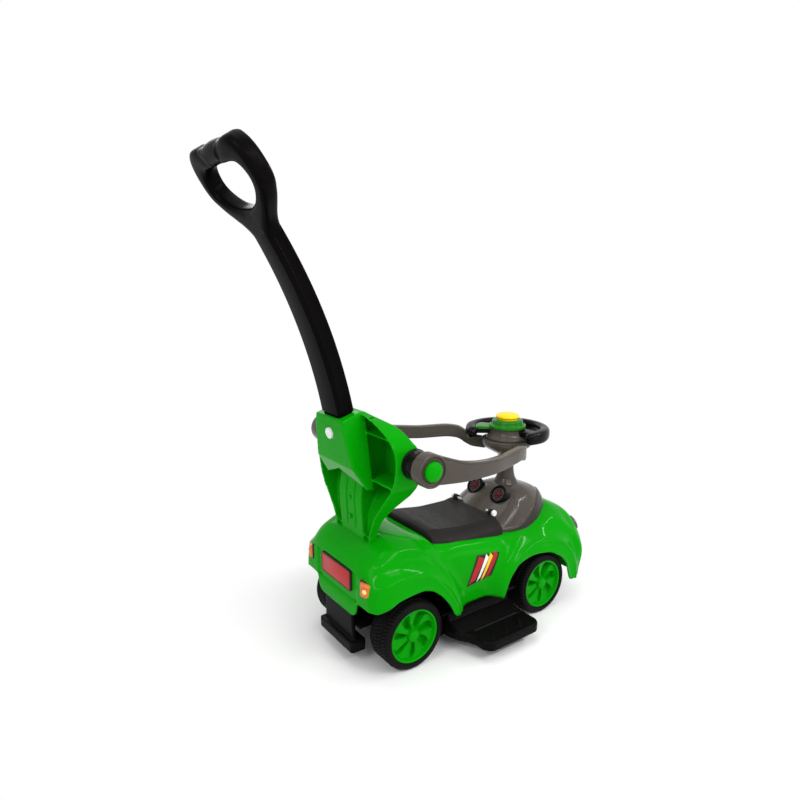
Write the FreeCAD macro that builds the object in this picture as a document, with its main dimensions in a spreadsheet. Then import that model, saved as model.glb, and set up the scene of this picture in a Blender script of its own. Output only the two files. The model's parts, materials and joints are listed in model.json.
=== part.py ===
import FreeCAD, Part
import math
import os
import re

import Sketcher

# Toddler's push car: +X is forward, +Y is left, +Z is up, millimetres.
# Shapes are drawn from the rear axle's middle on the ground, and at the end
# every piece is moved so that the origin is below the middle of the whole car.

Vec = FreeCAD.Vector
X_AXIS, Y_AXIS, Z_AXIS = Vec(1, 0, 0), Vec(0, 1, 0), Vec(0, 0, 1)
SIDES = (("left", 1), ("right", -1))

doc = FreeCAD.newDocument("push_car")
sheet = doc.addObject("Spreadsheet::Sheet", "dims")

SIZES = (
    ("wheelbase", 330, "rear axle to front axle"),
    ("wheel_radius", 64, "tyre outside radius, which is the axle height"),
    ("tyre_width", 56, "width of a tyre"),
    ("tyre_inner_face", 72, "inner side of a tyre from the middle plane"),
    ("tyre_round", 9, "rounding of the tyre's shoulders"),
    ("groove_width", 3, "width of a tread groove"),
    ("groove_depth", 2.5, "depth of a tread groove"),
    ("rim_radius", 50, "outside radius of a rim, where the tyre sits"),
    ("rim_wall", 4, "thickness of the rim's barrel and web"),
    ("rim_width", 54, "width of a rim"),
    ("web_place", 32, "inner side of the rim's web from the rim's inner edge"),
    ("hub_radius", 12, "radius of a rim's hub"),
    ("hub_start", 20, "inner end of a rim's hub from the rim's inner edge"),
    ("hub_end", 50, "outer end of a rim's hub from the rim's inner edge"),
    ("spoke_count", 7, "spokes of a rim"),
    ("spoke_width", 13, "width of a spoke"),
    ("spoke_depth", 10, "how far a spoke stands out of the web"),
    ("cap_dome", 4, "height of a hub cap"),
    ("axle_radius", 5, "radius of the axles"),
    ("fit", 0.06, "radial running fit of a shaft in its bore"),
    ("gap", 0.3, "clear space between separate pieces"),
    ("wall", 3, "thickness of the moulded shells"),
    ("tail_x", -86, "rear panel"),
    ("nose_ahead", 142, "nose ahead of the front axle"),
    ("nose_x", "=wheelbase + nose_ahead", "front of the nose"),
    ("shell_low", 40, "lowest level that the body's form is drawn from"),
    ("sill_z", 78, "lower edge of the body between the wheels"),
    ("nose_low", 54, "lower edge of the nose"),
    ("tongue_z", 105, "lower edge of the rear panel"),
    ("tongue_half", 66, "half width of the rear panel's lower part"),
    ("rear_flare", 25, "how far the rear fenders stand out"),
    ("front_flare", 23, "how far the front fenders stand out"),
    ("flare_inner", 94, "radius round an axle inside which a fender is fully out"),
    ("flare_outer", 146, "radius round an axle where a fender starts"),
    ("rear_arch_top", 87, "top of the rear arch above the axle"),
    ("front_arch_top", 78, "top of the front arch above the axle"),
    ("arch_clear", 4, "front arch to tyre, ahead of the wheel"),
    ("belt", 112, "half width of the body at the seat"),
    ("deck_z", 238, "rear deck at the backrest"),
    ("waist_z", 186, "top of the body below the seat's front"),
    ("bonnet_z", 207, "top of the bonnet"),
    ("floor_thick", 5, "thickness of the chassis floor"),
    ("floor_start", 70, "rear end of the wide floor"),
    ("floor_back", 74, "front end of the wide floor behind the front axle"),
    ("floor_end", "=wheelbase - floor_back", "front end of the wide floor"),
    ("floor_half", 116, "half width of the floor under the sills"),
    ("spine_half", 62, "half width of the chassis between the rear wheels"),
    ("prow_half", 48, "half width of the chassis between the front wheels"),
    ("prow_ahead", 110, "front end of the chassis ahead of the front axle"),
    ("prow_end", "=wheelbase + prow_ahead", "front end of the chassis"),
    ("spine_back", 11.3, "rear end of the chassis ahead of the rear panel"),
    ("spine_start", "=tail_x + spine_back", "rear end of the chassis"),
    ("foot_start", 88, "rear edge of a footrest"),
    ("foot_back", 6, "front edge of a footrest behind the wide floor's end"),
    ("foot_end", "=floor_end - foot_back", "front edge of a footrest"),
    ("foot_low", 24, "underside of the footrests"),
    ("foot_thick", 17, "thickness of a footrest"),
    ("foot_outer", 197, "outer edge of a footrest from the middle plane"),
    ("foot_inner", 84, "inner edge of a footrest from the middle plane"),
    ("foot_riser", 28, "height of a footrest's riser"),
    ("foot_slope", 60, "inner edge of a footrest to the foot of its riser"),
    ("rail_thick", 6, "thickness of the footrest rails"),
    ("rail_lip", 5, "how far a rail's lip reaches under a footrest"),
    ("rail_half", 97, "half length of the footrest rails"),
    ("bumper_half", 60, "half width of the bumper step"),
    ("bumper_low", 27, "underside of the bumper step"),
    ("bumper_thick", 20, "height of the bumper step"),
    ("bumper_depth", 32, "length of the bumper step"),
    ("bumper_back", 5, "how far the step stands behind the rear panel"),
    ("beam_low", 58, "underside of the front beam"),
    ("beam_half", 52, "half length of the front beam between its forks"),
    ("beam_width", 18, "width of a fork"),
    ("fork_thick", 6, "thickness of a fork's lugs"),
    ("fork_rise", 12, "clear half height inside a fork"),
    ("king_y", 80, "king pin from the middle plane"),
    ("king_radius", 4, "radius of a king pin"),
    ("crank", 30, "length of the steering arms and of the crank"),
    ("arm_thick", 5, "thickness of the steering arms and the tie rod"),
    ("pin_radius", 3, "radius of the tie rod's pins"),
    ("steer_ahead", 8, "steering axis ahead of the front axle"),
    ("steer_x", "=wheelbase + steer_ahead", "steering axis"),
    ("shaft_radius", 6, "radius of the steering shaft"),
    ("column_top", 347, "top of the column housing"),
    ("column_head", 54, "radius of the column housing's head"),
    ("column_neck", 16.5, "radius of the column housing's neck"),
    ("column_foot", 29, "radius of the column housing's foot"),
    ("ring_radius", 78, "steering wheel, to the middle of its rim"),
    ("ring_tube", 11, "radius of the steering wheel's rim section"),
    ("ring_z", 363, "height of the steering wheel's rim"),
    ("ring_gap", 90, "open part of the steering wheel's rim, degrees"),
    ("ring_turn", 28, "how far the steering wheel sits turned to the left, degrees"),
    ("spoke_span", 26, "width of a steering wheel spoke"),
    ("steer_hub", 22, "radius of the steering wheel's hub"),
    ("pad_radius", 38.5, "radius of the horn pad"),
    ("pad_height", 18, "height of the horn pad"),
    ("horn_radius", 21, "radius of the horn button"),
    ("horn_top", 401, "top of the horn button"),
    ("horn_travel", 3, "travel of the horn button"),
    ("seat_start", 70, "rear edge of the seat"),
    ("hinge_back", 92, "hinge line of the seat behind the steering axis"),
    ("seat_hinge_x", "=steer_x - hinge_back", "hinge line of the seat"),
    ("seat_hinge_z", 217, "height of the seat's hinge line"),
    ("seat_half", 91, "half width of the seat"),
    ("seat_z", 215, "lowest part of the seat's top"),
    ("hinge_y", 49, "inner end of a seat lug from the middle plane"),
    ("hinge_pin", 4, "radius of a hinge pin"),
    ("pin_head", 6.5, "radius of a hinge pin's head"),
    ("pin_cap", 5, "height of a hinge pin's head"),
    ("lug_radius", 8, "radius of a seat lug"),
    ("lug_width", 10, "width of a seat lug"),
    ("bin_start", 86, "rear wall of the storage bin"),
    ("bin_back", 24, "front wall of the storage bin behind the hinge line"),
    ("bin_end", "=seat_hinge_x - bin_back", "front wall of the storage bin"),
    ("bin_half", 64, "half width of the storage bin"),
    ("bin_rim", 184, "upper edge of the storage bin"),
    ("console_ahead", 96, "front end of the console ahead of the steering axis"),
    ("console_end", "=steer_x + console_ahead", "front end of the console"),
    ("console_z", 252, "top of the console"),
    ("dial_back", 58, "dial pods behind the steering axis"),
    ("dial_x", "=steer_x - dial_back", "dial pods"),
    ("dial_y", 36, "dial pods from the middle plane"),
    ("dial_z", 244, "height of the dial pods' faces"),
    ("dial_radius", 19, "radius of a dial pod"),
    ("dial_tilt", 52, "lean of the dial faces from level, degrees"),
    ("back_low", 214, "lower end of the backrest"),
    ("back_top", 463, "top of the backrest"),
    ("back_base", 58, "half width of the backrest's base"),
    ("wing_half", 130, "half width across the backrest's wings"),
    ("wing_low", 345, "lower corner of a wing"),
    ("wing_top", 430, "upper corner of a wing"),
    ("collar_half", 44, "half width of the socket collar's top"),
    ("collar_skirt", 70, "half width of the socket collar's lower edge"),
    ("collar_back", -97, "rear face of the socket collar at its top"),
    ("collar_low", 330, "lower corners of the socket collar"),
    ("hub_x", -7, "guard arm hubs"),
    ("hub_z", 385, "height of the guard arm hubs"),
    ("hub_face", 183, "outer face of a guard arm hub from the middle plane"),
    ("guard_hub", 28.5, "radius of a guard arm hub"),
    ("guard_hub_width", 25, "width of a guard arm hub"),
    ("guard_thick", 15, "thickness of a guard arm"),
    ("drum_radius", 25, "radius of the drums that carry the guard arms"),
    ("guard_cap", 17, "radius of a guard arm's cap"),
    ("tang_length", 94, "part of the handle inside the socket"),
    ("tang_wide", 55, "width of the handle inside the socket"),
    ("tang_deep", 25, "depth of the handle inside the socket"),
    ("shaft_wide", 61, "width of the handle above the socket"),
    ("shaft_deep", 30, "depth of the handle above the socket"),
    ("stem_wide", 40, "width of the handle below its loop"),
    ("stem_deep", 23, "depth of the handle below its loop"),
    ("handle_x", -76, "handle's middle where it leaves the socket"),
    ("handle_z", 461, "height where the handle leaves the socket"),
    ("handle_lean", 12, "lean of the handle at the socket, degrees"),
    ("handle_bend", 20, "how much more the handle leans at its loop, degrees"),
    ("handle_run", 322, "length of the handle between socket and loop"),
    ("loop_lean", 33, "lean of the loop, degrees"),
    ("loop_length", 146, "length of the loop"),
    ("loop_half", 102, "half width of the loop"),
    ("loop_band", 23, "width of the loop's band"),
    ("loop_thick", 24, "thickness of the loop"),
    ("lock_z", 423, "height of the lock button"),
    ("lock_radius", 10, "radius of the lock button"),
    ("lock_travel", 4, "travel of the lock button"),
    ("lock_clear", 1.5, "pressed lock button to the handle"),
    ("lock_proud", 3, "how far the lock button stands out of the collar"),
    ("lamp_size", 24, "side of a tail lamp"),
    ("plate_half", 52, "half width of the rear plate"),
    ("plate_low", 145, "lower edge of the rear plate"),
    ("plate_height", 38, "height of the rear plate"),
    ("screw_head", 4, "radius of a screw head"),
)

for row, (alias, value, note) in enumerate(SIZES, start=1):
    sheet.set(f"A{row}", note)
    sheet.set(f"B{row}", str(value))
    sheet.setAlias(f"B{row}", alias)
doc.recompute()


class Sizes:
    """The sheet's values by name, for shapes that are worked out in code."""

    def __getattr__(self, alias):
        return float(sheet.get(alias))


d = Sizes()
probe = doc.addObject("Spreadsheet::Sheet", "probe")
pieces = {}


# Helpers that bind sizes to the sheet

def cell(text):
    """An expression over the sheet, from an expression over the sizes' names."""
    return re.sub(r"[a-z_]+", lambda word: "dims." + word.group(0), text)


def bind(obj, **sizes):
    for name, text in sizes.items():
        obj.setExpression(name, cell(text))


def bind_place(obj, x, y, z):
    for axis, text in zip("xyz", (x, y, z)):
        obj.setExpression("Placement.Base." + axis, cell(text))


def box(x, y, z, length, width, height):
    """A block by its lowest corner and its size along X, Y and Z."""
    obj = doc.addObject("Part::Box", "block")
    bind(obj, Length=length, Width=width, Height=height)
    bind_place(obj, x, y, z)
    return obj


def rod(x, y, z, radius, length, axis=Z_AXIS):
    """A round bar that starts at a point and runs along an axis."""
    obj = doc.addObject("Part::Cylinder", "rod")
    obj.Placement = FreeCAD.Placement(Vec(), FreeCAD.Rotation(Z_AXIS, axis))
    bind(obj, Radius=radius, Height=length)
    bind_place(obj, x, y, z)
    return obj


def fuse(label, shapes):
    obj = doc.addObject("Part::MultiFuse", "joined")
    obj.Shapes = shapes
    return named(label, obj)


def cut(label, base, tools):
    obj = doc.addObject("Part::Cut", "trimmed")
    obj.Base = base
    obj.Tool = tools[0] if len(tools) == 1 else fuse(None, tools)
    return named(label, obj)


def group(label, shapes):
    obj = doc.addObject("Part::Compound", "group")
    obj.Links = shapes
    return named(label, obj)


def named(label, obj):
    """Gives a finished sub-part its label and keeps it for the export."""
    if label:
        obj.Label = label
        pieces[label] = obj
    return obj


def feature(label, shape):
    obj = doc.addObject("Part::Feature", label)
    obj.Shape = shape
    return named(label, obj)


def origin_plane(body, role):
    return next(f for f in body.Origin.OriginFeatures if f.Role == role)


def sketch_on(body, name, role, corners):
    """A closed outline on one of the body's planes, each corner bound to the sheet."""
    sketch = body.newObject("Sketcher::SketchObject", name)
    sketch.AttachmentSupport = [(origin_plane(body, role), "")]
    sketch.MapMode = "FlatFace"
    spots = [Vec(value_of(a), value_of(b), 0) for a, b in corners]
    for start, end in zip(spots, spots[1:] + spots[:1]):
        sketch.addGeometry(Part.LineSegment(start, end), False)
    count = len(corners)
    for i in range(count):
        sketch.addConstraint(Sketcher.Constraint("Coincident", i, 2, (i + 1) % count, 1))
    for i, (across, up) in enumerate(corners):
        pin_corner(sketch, i, "DistanceX", across, -2)
        pin_corner(sketch, i, "DistanceY", up, -1)
    return sketch


def pin_corner(sketch, line, kind, text, axis):
    """Holds a line's start at a bound distance, or on the axis where that is zero."""
    if text == "0":
        sketch.addConstraint(Sketcher.Constraint("PointOnObject", line, 1, axis))
        return
    index = sketch.addConstraint(Sketcher.Constraint(kind, -1, 1, line, 1, value_of(text)))
    sketch.setExpression(f"Constraints[{index}]", cell(text))


def value_of(text):
    """The number that an expression over the sizes gives."""
    probe.set("A1", "=" + cell(text))
    probe.recompute()
    return float(probe.get("A1"))


def turned(label, corners, role="XY_Plane"):
    """A body of revolution; corners are (radius, place along the axis)."""
    body = doc.addObject("PartDesign::Body", label)
    sketch = sketch_on(body, label + "_outline", role, corners)
    turn = body.newObject("PartDesign::Revolution", label + "_turn")
    turn.Profile = sketch
    turn.ReferenceAxis = (sketch, ["V_Axis"])
    turn.Angle = 360
    doc.recompute()
    return named(label, body)


# Helpers for free forms

def smooth(points, x):
    """Height at x of a smooth line through the points that never overshoots them."""
    steps = [(b[1] - a[1]) / (b[0] - a[0]) for a, b in zip(points, points[1:])]
    slopes = [steps[0]]
    for before, after in zip(steps, steps[1:]):
        level = before * after <= 0
        slopes.append(0 if level else 2 * before * after / (before + after))
    slopes.append(steps[-1])
    i = max(k for k in range(len(steps)) if k == 0 or points[k][0] <= x)
    (x0, y0), (x1, y1) = points[i], points[i + 1]
    width, rise = x1 - x0, y1 - y0
    t = min(max((x - x0) / width, 0), 1)
    bend = 3 * rise - width * (2 * slopes[i] + slopes[i + 1])
    twist = width * (slopes[i] + slopes[i + 1]) - 2 * rise
    return y0 + t * width * slopes[i] + t * t * bend + t ** 3 * twist


def hoop(x, half, top, base, power, flare=None):
    """A cross section at x: a rounded arch over a straight base line."""
    count = 24
    points = []
    for i in range(count + 1):
        angle = math.pi * i / count
        side = math.copysign(abs(math.cos(angle)) ** (2 / power), math.cos(angle))
        z = base + (top - base) * abs(math.sin(angle)) ** (2 / power)
        reach = half + (flare(x, z) if flare else 0)
        points.append(Vec(x, reach * side, z))
    curve = Part.BSplineCurve()
    curve.interpolate(points)
    return Part.Wire([curve.toShape(), Part.makeLine(points[-1], points[0])])


def curve_through(points):
    curve = Part.BSplineCurve()
    curve.interpolate(points)
    return curve.toShape()


def prism_y(edges_or_points, y_from, y_to):
    """An outline in the XZ plane, carried along Y."""
    wire = outline([Vec(x, y_from, z) for x, z in edges_or_points])
    return Part.Face(wire).extrude(Vec(0, y_to - y_from, 0))


def outline(points):
    return Part.makePolygon(points + points[:1])


def block(x_from, x_to, y_from, y_to, z_from, z_to):
    return Part.makeBox(x_to - x_from, y_to - y_from, z_to - z_from, Vec(x_from, y_from, z_from))


def mirrored(shape):
    return shape.mirror(Vec(), Y_AXIS)


def both_sides(shape):
    return shape.fuse(mirrored(shape))


# Wheels: a tyre, a spoked rim and a hub cap at each corner

def make_tyre(label):
    high, wide = "wheel_radius", "tyre_width"
    bottom = "wheel_radius - groove_depth"
    corners = [("rim_radius + gap", "0"), ("rim_radius + gap", wide), (f"{high} - tyre_round", wide),
               (f"{high} - tyre_round * 0.3", f"{wide} - tyre_round * 0.3"), (high, f"{wide} - tyre_round")]
    for share in ("0.64", "0.44"):
        edge = f"{wide} * {share}"
        corners += [(high, f"{edge} + groove_width"), (bottom, f"{edge} + groove_width"),
                    (bottom, edge), (high, edge)]
    corners += [(high, "tyre_round"), (f"{high} - tyre_round * 0.3", "tyre_round * 0.3"),
                (f"{high} - tyre_round", "0")]
    return turned(label, corners)


def make_rim(label):
    inner = "rim_radius - rim_wall"
    web = "web_place + rim_wall"
    corners = [("axle_radius + fit", "hub_start"), ("axle_radius + fit", "hub_end"),
               ("hub_radius", "hub_end"), ("hub_radius", web), (inner, web), (inner, "rim_width"),
               ("rim_radius", "rim_width"), ("rim_radius", "0"), (inner, "0"),
               (inner, "web_place"), ("hub_radius", "web_place"), ("hub_radius", "hub_start")]
    body = turned(label, corners)
    spoke_from, spoke_to = "hub_radius - 1", "rim_radius - rim_wall + 1"
    half = "spoke_width / 2"
    sketch = sketch_on(body, label + "_spoke", "XZ_Plane",
                       [(spoke_from, half), (spoke_from, f"0 - {half} * 0.7"),
                        (spoke_to, f"0 - {half}"), (spoke_to, f"{half} * 1.4")])
    sketch.AttachmentOffset = FreeCAD.Placement(Vec(0, 0, 0), FreeCAD.Rotation())
    sketch.setExpression("AttachmentOffset.Base.z", cell("0 - web_place - rim_wall / 2"))
    spoke = body.newObject("PartDesign::Pad", label + "_spoke_pad")
    spoke.Profile = sketch
    spoke.Reversed = True
    bind(spoke, Length="spoke_depth + rim_wall / 2")
    doc.recompute()
    ring = body.newObject("PartDesign::PolarPattern", label + "_spokes")
    ring.Originals = [spoke]
    ring.Axis = (origin_plane(body, "Y_Axis"), [""])
    ring.Angle = 360
    bind(ring, Occurrences="spoke_count")
    body.Tip = ring
    doc.recompute()
    return body


def make_hub_cap(label):
    return turned(label, [("0", "hub_end + gap"), ("hub_radius - 1", "hub_end + gap"),
                          ("hub_radius - 1", "hub_end + cap_dome / 2"),
                          ("hub_radius / 2", "hub_end + cap_dome"), ("0", "hub_end + cap_dome")])


for end, axle_x in (("rear", 0), ("front", d.wheelbase)):
    for side, sign in SIDES:
        place = FreeCAD.Placement(Vec(axle_x, sign * d.tyre_inner_face, d.wheel_radius),
                                  FreeCAD.Rotation(Z_AXIS, 0 if sign > 0 else 180))
        for make, word in ((make_tyre, "tyre"), (make_rim, "rim"), (make_hub_cap, "hub_cap")):
            make(f"{end}_{word}_{side}").Placement = place


# Body shell: one form drawn from cross sections, hollow, open below

def body_line():
    """Control points of the shell along X: half width, top line and squareness."""
    tail, nose, mid = d.tail_x, d.nose_x, d.wheelbase / 2
    half = [(tail, d.belt - 27), (tail + 9, d.belt - 12), (tail + 34, d.belt - 3), (0, d.belt - 4),
            (mid, d.belt), (d.wheelbase, d.belt), (nose - 52, d.belt),
            (nose - 30, d.belt + 6), (nose - 12, d.belt + 4), (nose, d.belt - 16)]
    top = [(tail, d.deck_z - 50), (tail + 8, d.deck_z - 32), (tail + 38, d.deck_z - 10),
           (-20, d.deck_z), (24, d.deck_z - 8), (d.seat_start, d.deck_z - 30),
           (d.seat_start + 50, d.waist_z + 16), (mid, d.waist_z + 9), (d.floor_end, d.waist_z),
           (d.wheelbase - 40, d.waist_z + 1),
           (nose - 72, d.bonnet_z), (nose - 30, d.bonnet_z - 13), (nose - 10, d.bonnet_z - 34),
           (nose, d.bonnet_z - 58)]
    square = [(tail, 6), (d.seat_start - 30, 6), (d.seat_start + 40, 9), (mid, 9), (d.floor_end, 7),
              (d.wheelbase, 5), (nose, 3.6)]
    return half, top, square


def fender(x, z):
    """How far the fenders stand out of the body's side at a point."""
    out = 0
    for axle_x, reach in ((0, d.rear_flare), (d.wheelbase, d.front_flare)):
        radius = math.hypot(x - axle_x, z - d.wheel_radius)
        t = (radius - d.flare_inner) / (d.flare_outer - d.flare_inner)
        out += reach * (1 + math.cos(math.pi * min(max(t, 0), 1))) / 2
    return out


def body_form(inset):
    """The shell's outside form, drawn in by inset all round."""
    half, top, square = body_line()
    start, end = d.tail_x + inset, d.nose_x - inset
    steps = 25
    stations = [start, start + 3, start + 8, start + 18]
    stations += [start + 32 + (end - start - 62) * i / steps for i in range(steps + 1)]
    stations += [end - 18, end - 9, end - 3, end]
    base = d.shell_low - (10 if inset > 0 else 0)
    wires = [hoop(x, smooth(half, x) - inset, smooth(top, x) - inset, base, smooth(square, x), fender)
             for x in stations]
    return Part.makeLoft(wires, True, False)


def front_arch():
    """The front wheel's opening: wide behind the wheel and close ahead of it."""
    axle, height = d.wheelbase, d.wheel_radius
    round_wheel = d.wheel_radius + d.arch_clear
    spots = [(-124, d.sill_z - height), (-105, d.front_arch_top - 29), (-78, d.front_arch_top - 6),
             (-42, d.front_arch_top), (0, d.front_arch_top - 5)]
    spots += [(round_wheel * math.cos(math.radians(a)), round_wheel * math.sin(math.radians(a)))
              for a in (58, 30, 4)]
    return opening(spots, axle, height)


def rear_arch():
    """The rear wheel's opening, which runs on under the tail."""
    rise = d.rear_arch_top
    spots = [(d.tail_x - 20, rise - 10), (d.tail_x + 10, rise - 6), (-34, rise - 2), (10, rise),
             (30, rise - 5), (52, rise - 21), (71, rise - 44), (91, d.sill_z - d.wheel_radius)]
    return opening(spots, 0, d.wheel_radius)


def opening(spots, axle_x, axle_z):
    """A face in the XZ plane under a smooth line through the spots."""
    points = [Vec(axle_x + x, 0, axle_z + z) for x, z in spots]
    first, last = points[0], points[-1]
    low = min(d.shell_low, d.nose_low) - 20
    closing = [last, Vec(last.x, 0, low), Vec(first.x, 0, low), first]
    edges = [curve_through(points)] + Part.makePolygon(closing).Edges
    return Part.Face(Part.Wire(edges))


def make_body_shell(outer, fittings):
    shell = outer.cut(body_form(d.wall))
    far = d.belt * 2
    side_start = d.tongue_half
    rear = rear_arch()
    rear.translate(Vec(0, side_start, 0))
    rear_cut = rear.extrude(Vec(0, far, 0))
    front = front_arch()
    front.translate(Vec(0, -far, 0))
    front_cut = front.extrude(Vec(0, 2 * far, 0))
    low = d.shell_low - 20
    below = [block(0, d.wheelbase - 60, -far, far, low, d.sill_z),
             block(d.wheelbase, d.nose_x + 20, -far, far, low, d.nose_low),
             block(d.tail_x - 20, 60, -side_start, side_start, low, d.tongue_z)]
    bin_hole = block(d.bin_start - d.gap, d.bin_end + d.gap, -d.bin_half - d.gap, d.bin_half + d.gap,
                     d.bin_rim - 20, d.deck_z)
    shaft_hole = Part.makeCylinder(d.shaft_radius * 1.5, d.deck_z, Vec(d.steer_x, 0, 0))
    return shell.cut([rear_cut, mirrored(rear_cut), front_cut, bin_hole, shaft_hole] + below + fittings)


# Chassis, bumper, axle and footrests

FLOOR_LOW = "sill_z - gap - floor_thick"


def make_chassis():
    slabs = [box("floor_start", "0 - floor_half", FLOOR_LOW,
                 "floor_end - floor_start", "2 * floor_half", "floor_thick"),
             box("spine_start", "0 - spine_half", FLOOR_LOW,
                 "floor_start - spine_start + 1", "2 * spine_half", "floor_thick"),
             box("floor_end - 1", "0 - prow_half", FLOOR_LOW,
                 "prow_end - floor_end + 1", "2 * prow_half", "floor_thick")]
    bearing_low = "wheel_radius - axle_radius - 7"
    for y in ("spine_half - 18", "2 - spine_half"):
        slabs.append(box("0 - axle_radius - 9", y, bearing_low, "2 * axle_radius + 18", "16",
                         f"{FLOOR_LOW} - ({bearing_low}) + 1"))
    axle_bore = rod("0", "0 - spine_half - 1", "wheel_radius", "axle_radius + fit",
                    "2 * spine_half + 2", Y_AXIS)
    shaft_hole = rod("steer_x", "0", "0", "shaft_radius * 1.5", "sill_z", Z_AXIS)
    return cut("chassis_tray", fuse(None, slabs + make_rails()), [axle_bore, shaft_hole])


def make_rails():
    """Rails under the floor, with lips that carry the footrests' ends."""
    low = "foot_low - gap - rail_thick / 2"
    rise = f"{FLOOR_LOW} - ({low}) + 1"
    start, long = "0 - rail_half", "2 * rail_half"
    rear, front = "foot_start - gap - rail_thick", "foot_end + gap"
    return [box(rear, start, low, "rail_thick", long, rise),
            box(front, start, low, "rail_thick", long, rise),
            box(rear, start, low, "rail_thick + gap + rail_lip", long, "rail_thick / 2"),
            box("foot_end - rail_lip", start, low, "rail_thick + gap + rail_lip", long, "rail_thick / 2")]


def make_rear_axle():
    end = "tyre_inner_face + hub_end"
    bar = rod("0", f"0 - ({end})", "wheel_radius", "axle_radius", f"2 * ({end})", Y_AXIS)
    collars = [rod("0", y, "wheel_radius", "axle_radius + 3", "4", Y_AXIS)
               for y in ("spine_half + gap", "0 - spine_half - gap - 4")]
    return fuse("rear_axle", [bar] + collars)


def make_bumper():
    back = d.tail_x - d.bumper_back
    step = block(back, back + d.bumper_depth, -d.bumper_half, d.bumper_half,
                 d.bumper_low, d.bumper_low + d.bumper_thick)
    upright = [edge for edge in step.Edges if abs(edge.tangentAt(edge.FirstParameter).z) > 0.9]
    step = step.makeFillet(d.bumper_thick / 3, upright)
    step = step.makeFillet(2, [e for e in step.Edges if e.BoundBox.ZMin > d.bumper_low + 1])
    front = d.spine_start - d.gap
    rear = d.tail_x + d.wall + d.gap
    top = d.tongue_z + 10
    foot_half, head_half = d.bumper_half - 8, d.tongue_half - 20
    low = d.bumper_low + 2
    face = outline([Vec(rear, -foot_half, low), Vec(rear, foot_half, low),
                    Vec(rear, head_half, top), Vec(rear, -head_half, top)])
    return step.fuse(Part.Face(face).extrude(Vec(front - rear, 0, 0))).removeSplitter()


def footrest_outline():
    """Plan of the right footrest: straight outside, with an S-shaped rear edge."""
    start, end, inner, outer = d.foot_start, d.foot_end, -d.foot_inner, -d.foot_outer
    corner, sweep = 20, 24
    swept = start + sweep
    near = inner + (outer - inner) * 0.2
    far = outer + corner
    bend = Part.BezierCurve()
    half = (near + far) / 2
    bend.setPoles([Vec(start, near, 0), Vec(start, half, 0), Vec(swept, half, 0), Vec(swept, far, 0)])
    turn = corner * math.sqrt(0.5)
    rear_arc = Part.Arc(Vec(swept, far, 0), Vec(swept + corner - turn, far - turn, 0),
                        Vec(swept + corner, outer, 0))
    front_arc = Part.Arc(Vec(end - corner, outer, 0), Vec(end - corner + turn, far - turn, 0),
                         Vec(end, far, 0))
    line = Part.LineSegment
    return Part.Wire([part.toShape() for part in (
        line(Vec(start, inner, 0), Vec(start, near, 0)), bend, rear_arc,
        line(Vec(swept + corner, outer, 0), Vec(end - corner, outer, 0)), front_arc,
        line(Vec(end, far, 0), Vec(end, inner, 0)), line(Vec(end, inner, 0), Vec(start, inner, 0)))])


def make_footrest():
    top = d.foot_low + d.foot_thick
    face = Part.Face(footrest_outline())
    face.translate(Vec(0, 0, d.foot_low))
    plate = face.extrude(Vec(0, 0, d.foot_thick))
    rim = [e for e in plate.Edges if e.BoundBox.ZMin > top - 0.1 and e.BoundBox.YMin < -d.foot_inner - 1]
    plate = plate.makeFillet(3, rim)
    tread_wall, tread_deep = 9, 2.5
    root = -d.foot_inner - d.foot_slope
    edge = tread_wall - d.foot_outer
    tread = block(d.foot_start + 24 + tread_wall, d.foot_end - tread_wall, edge, root,
                  top - tread_deep, top + 1)
    upright = [e for e in tread.Edges if abs(e.tangentAt(e.FirstParameter).z) > 0.9]
    tread = tread.makeFillet(min(8, 0.4 * (root - edge)), upright)
    plate = plate.cut(tread)
    middle = (d.foot_start + 24 + d.foot_end) / 2
    for step in (-1, 0, 1):
        ridge = block(-2, 2, -16, 16, top - tread_deep - 0.5, top - 0.8)
        ridge.rotate(Vec(), Z_AXIS, -38)
        ridge.translate(Vec(middle + 34 * step, (root - d.foot_outer) / 2 + 2, 0))
        plate = plate.fuse(ridge)
    inside, face_y = -d.foot_inner - 6, -d.foot_inner - 18
    riser = [(inside, top - 1), (inside, top + d.foot_riser), (face_y, top + d.foot_riser),
             (face_y - 8, top + d.foot_riser * 0.45), (root, top - 1)]
    wire = outline([Vec(d.foot_start + 4, y, z) for y, z in riser])
    return plate.fuse(Part.Face(wire).extrude(Vec(d.foot_end - d.foot_start - 8, 0, 0))).removeSplitter()


# Steering: beam with forks, king pins, knuckles, tie rod and shaft

FORK_LOW = "wheel_radius - fork_rise - fork_thick"
FORK_HIGH = "wheel_radius + fork_rise"
ARM_LOW = "wheel_radius - fork_rise + gap"
ROD_LOW = f"{ARM_LOW} - gap - arm_thick"


def make_front_beam():
    parts = [box("wheelbase - beam_width / 2", "0 - beam_half - 1", "beam_low",
                 "steer_x - wheelbase + 2 * shaft_radius + beam_width / 2", "2 * beam_half + 2",
                 f"{FLOOR_LOW} - gap - beam_low")]
    for start in ("beam_half", "0 - king_y - 10"):
        long = "king_y + 10 - beam_half"
        for low in (FORK_LOW, FORK_HIGH):
            parts.append(box("wheelbase - beam_width / 2", start, low, "beam_width", long, "fork_thick"))
    for start in ("beam_half", "0 - beam_half - fork_thick"):
        parts.append(box("wheelbase - beam_width / 2", start, FORK_LOW, "beam_width", "fork_thick",
                         "2 * fork_rise + 2 * fork_thick"))
    bores = [rod("wheelbase", y, "0", "king_radius + fit", "2 * wheel_radius")
             for y in ("king_y", "0 - king_y")]
    bores.append(rod("steer_x", "0", "0", "shaft_radius + fit", "2 * wheel_radius"))
    return cut("front_beam", fuse(None, parts), bores)


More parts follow.
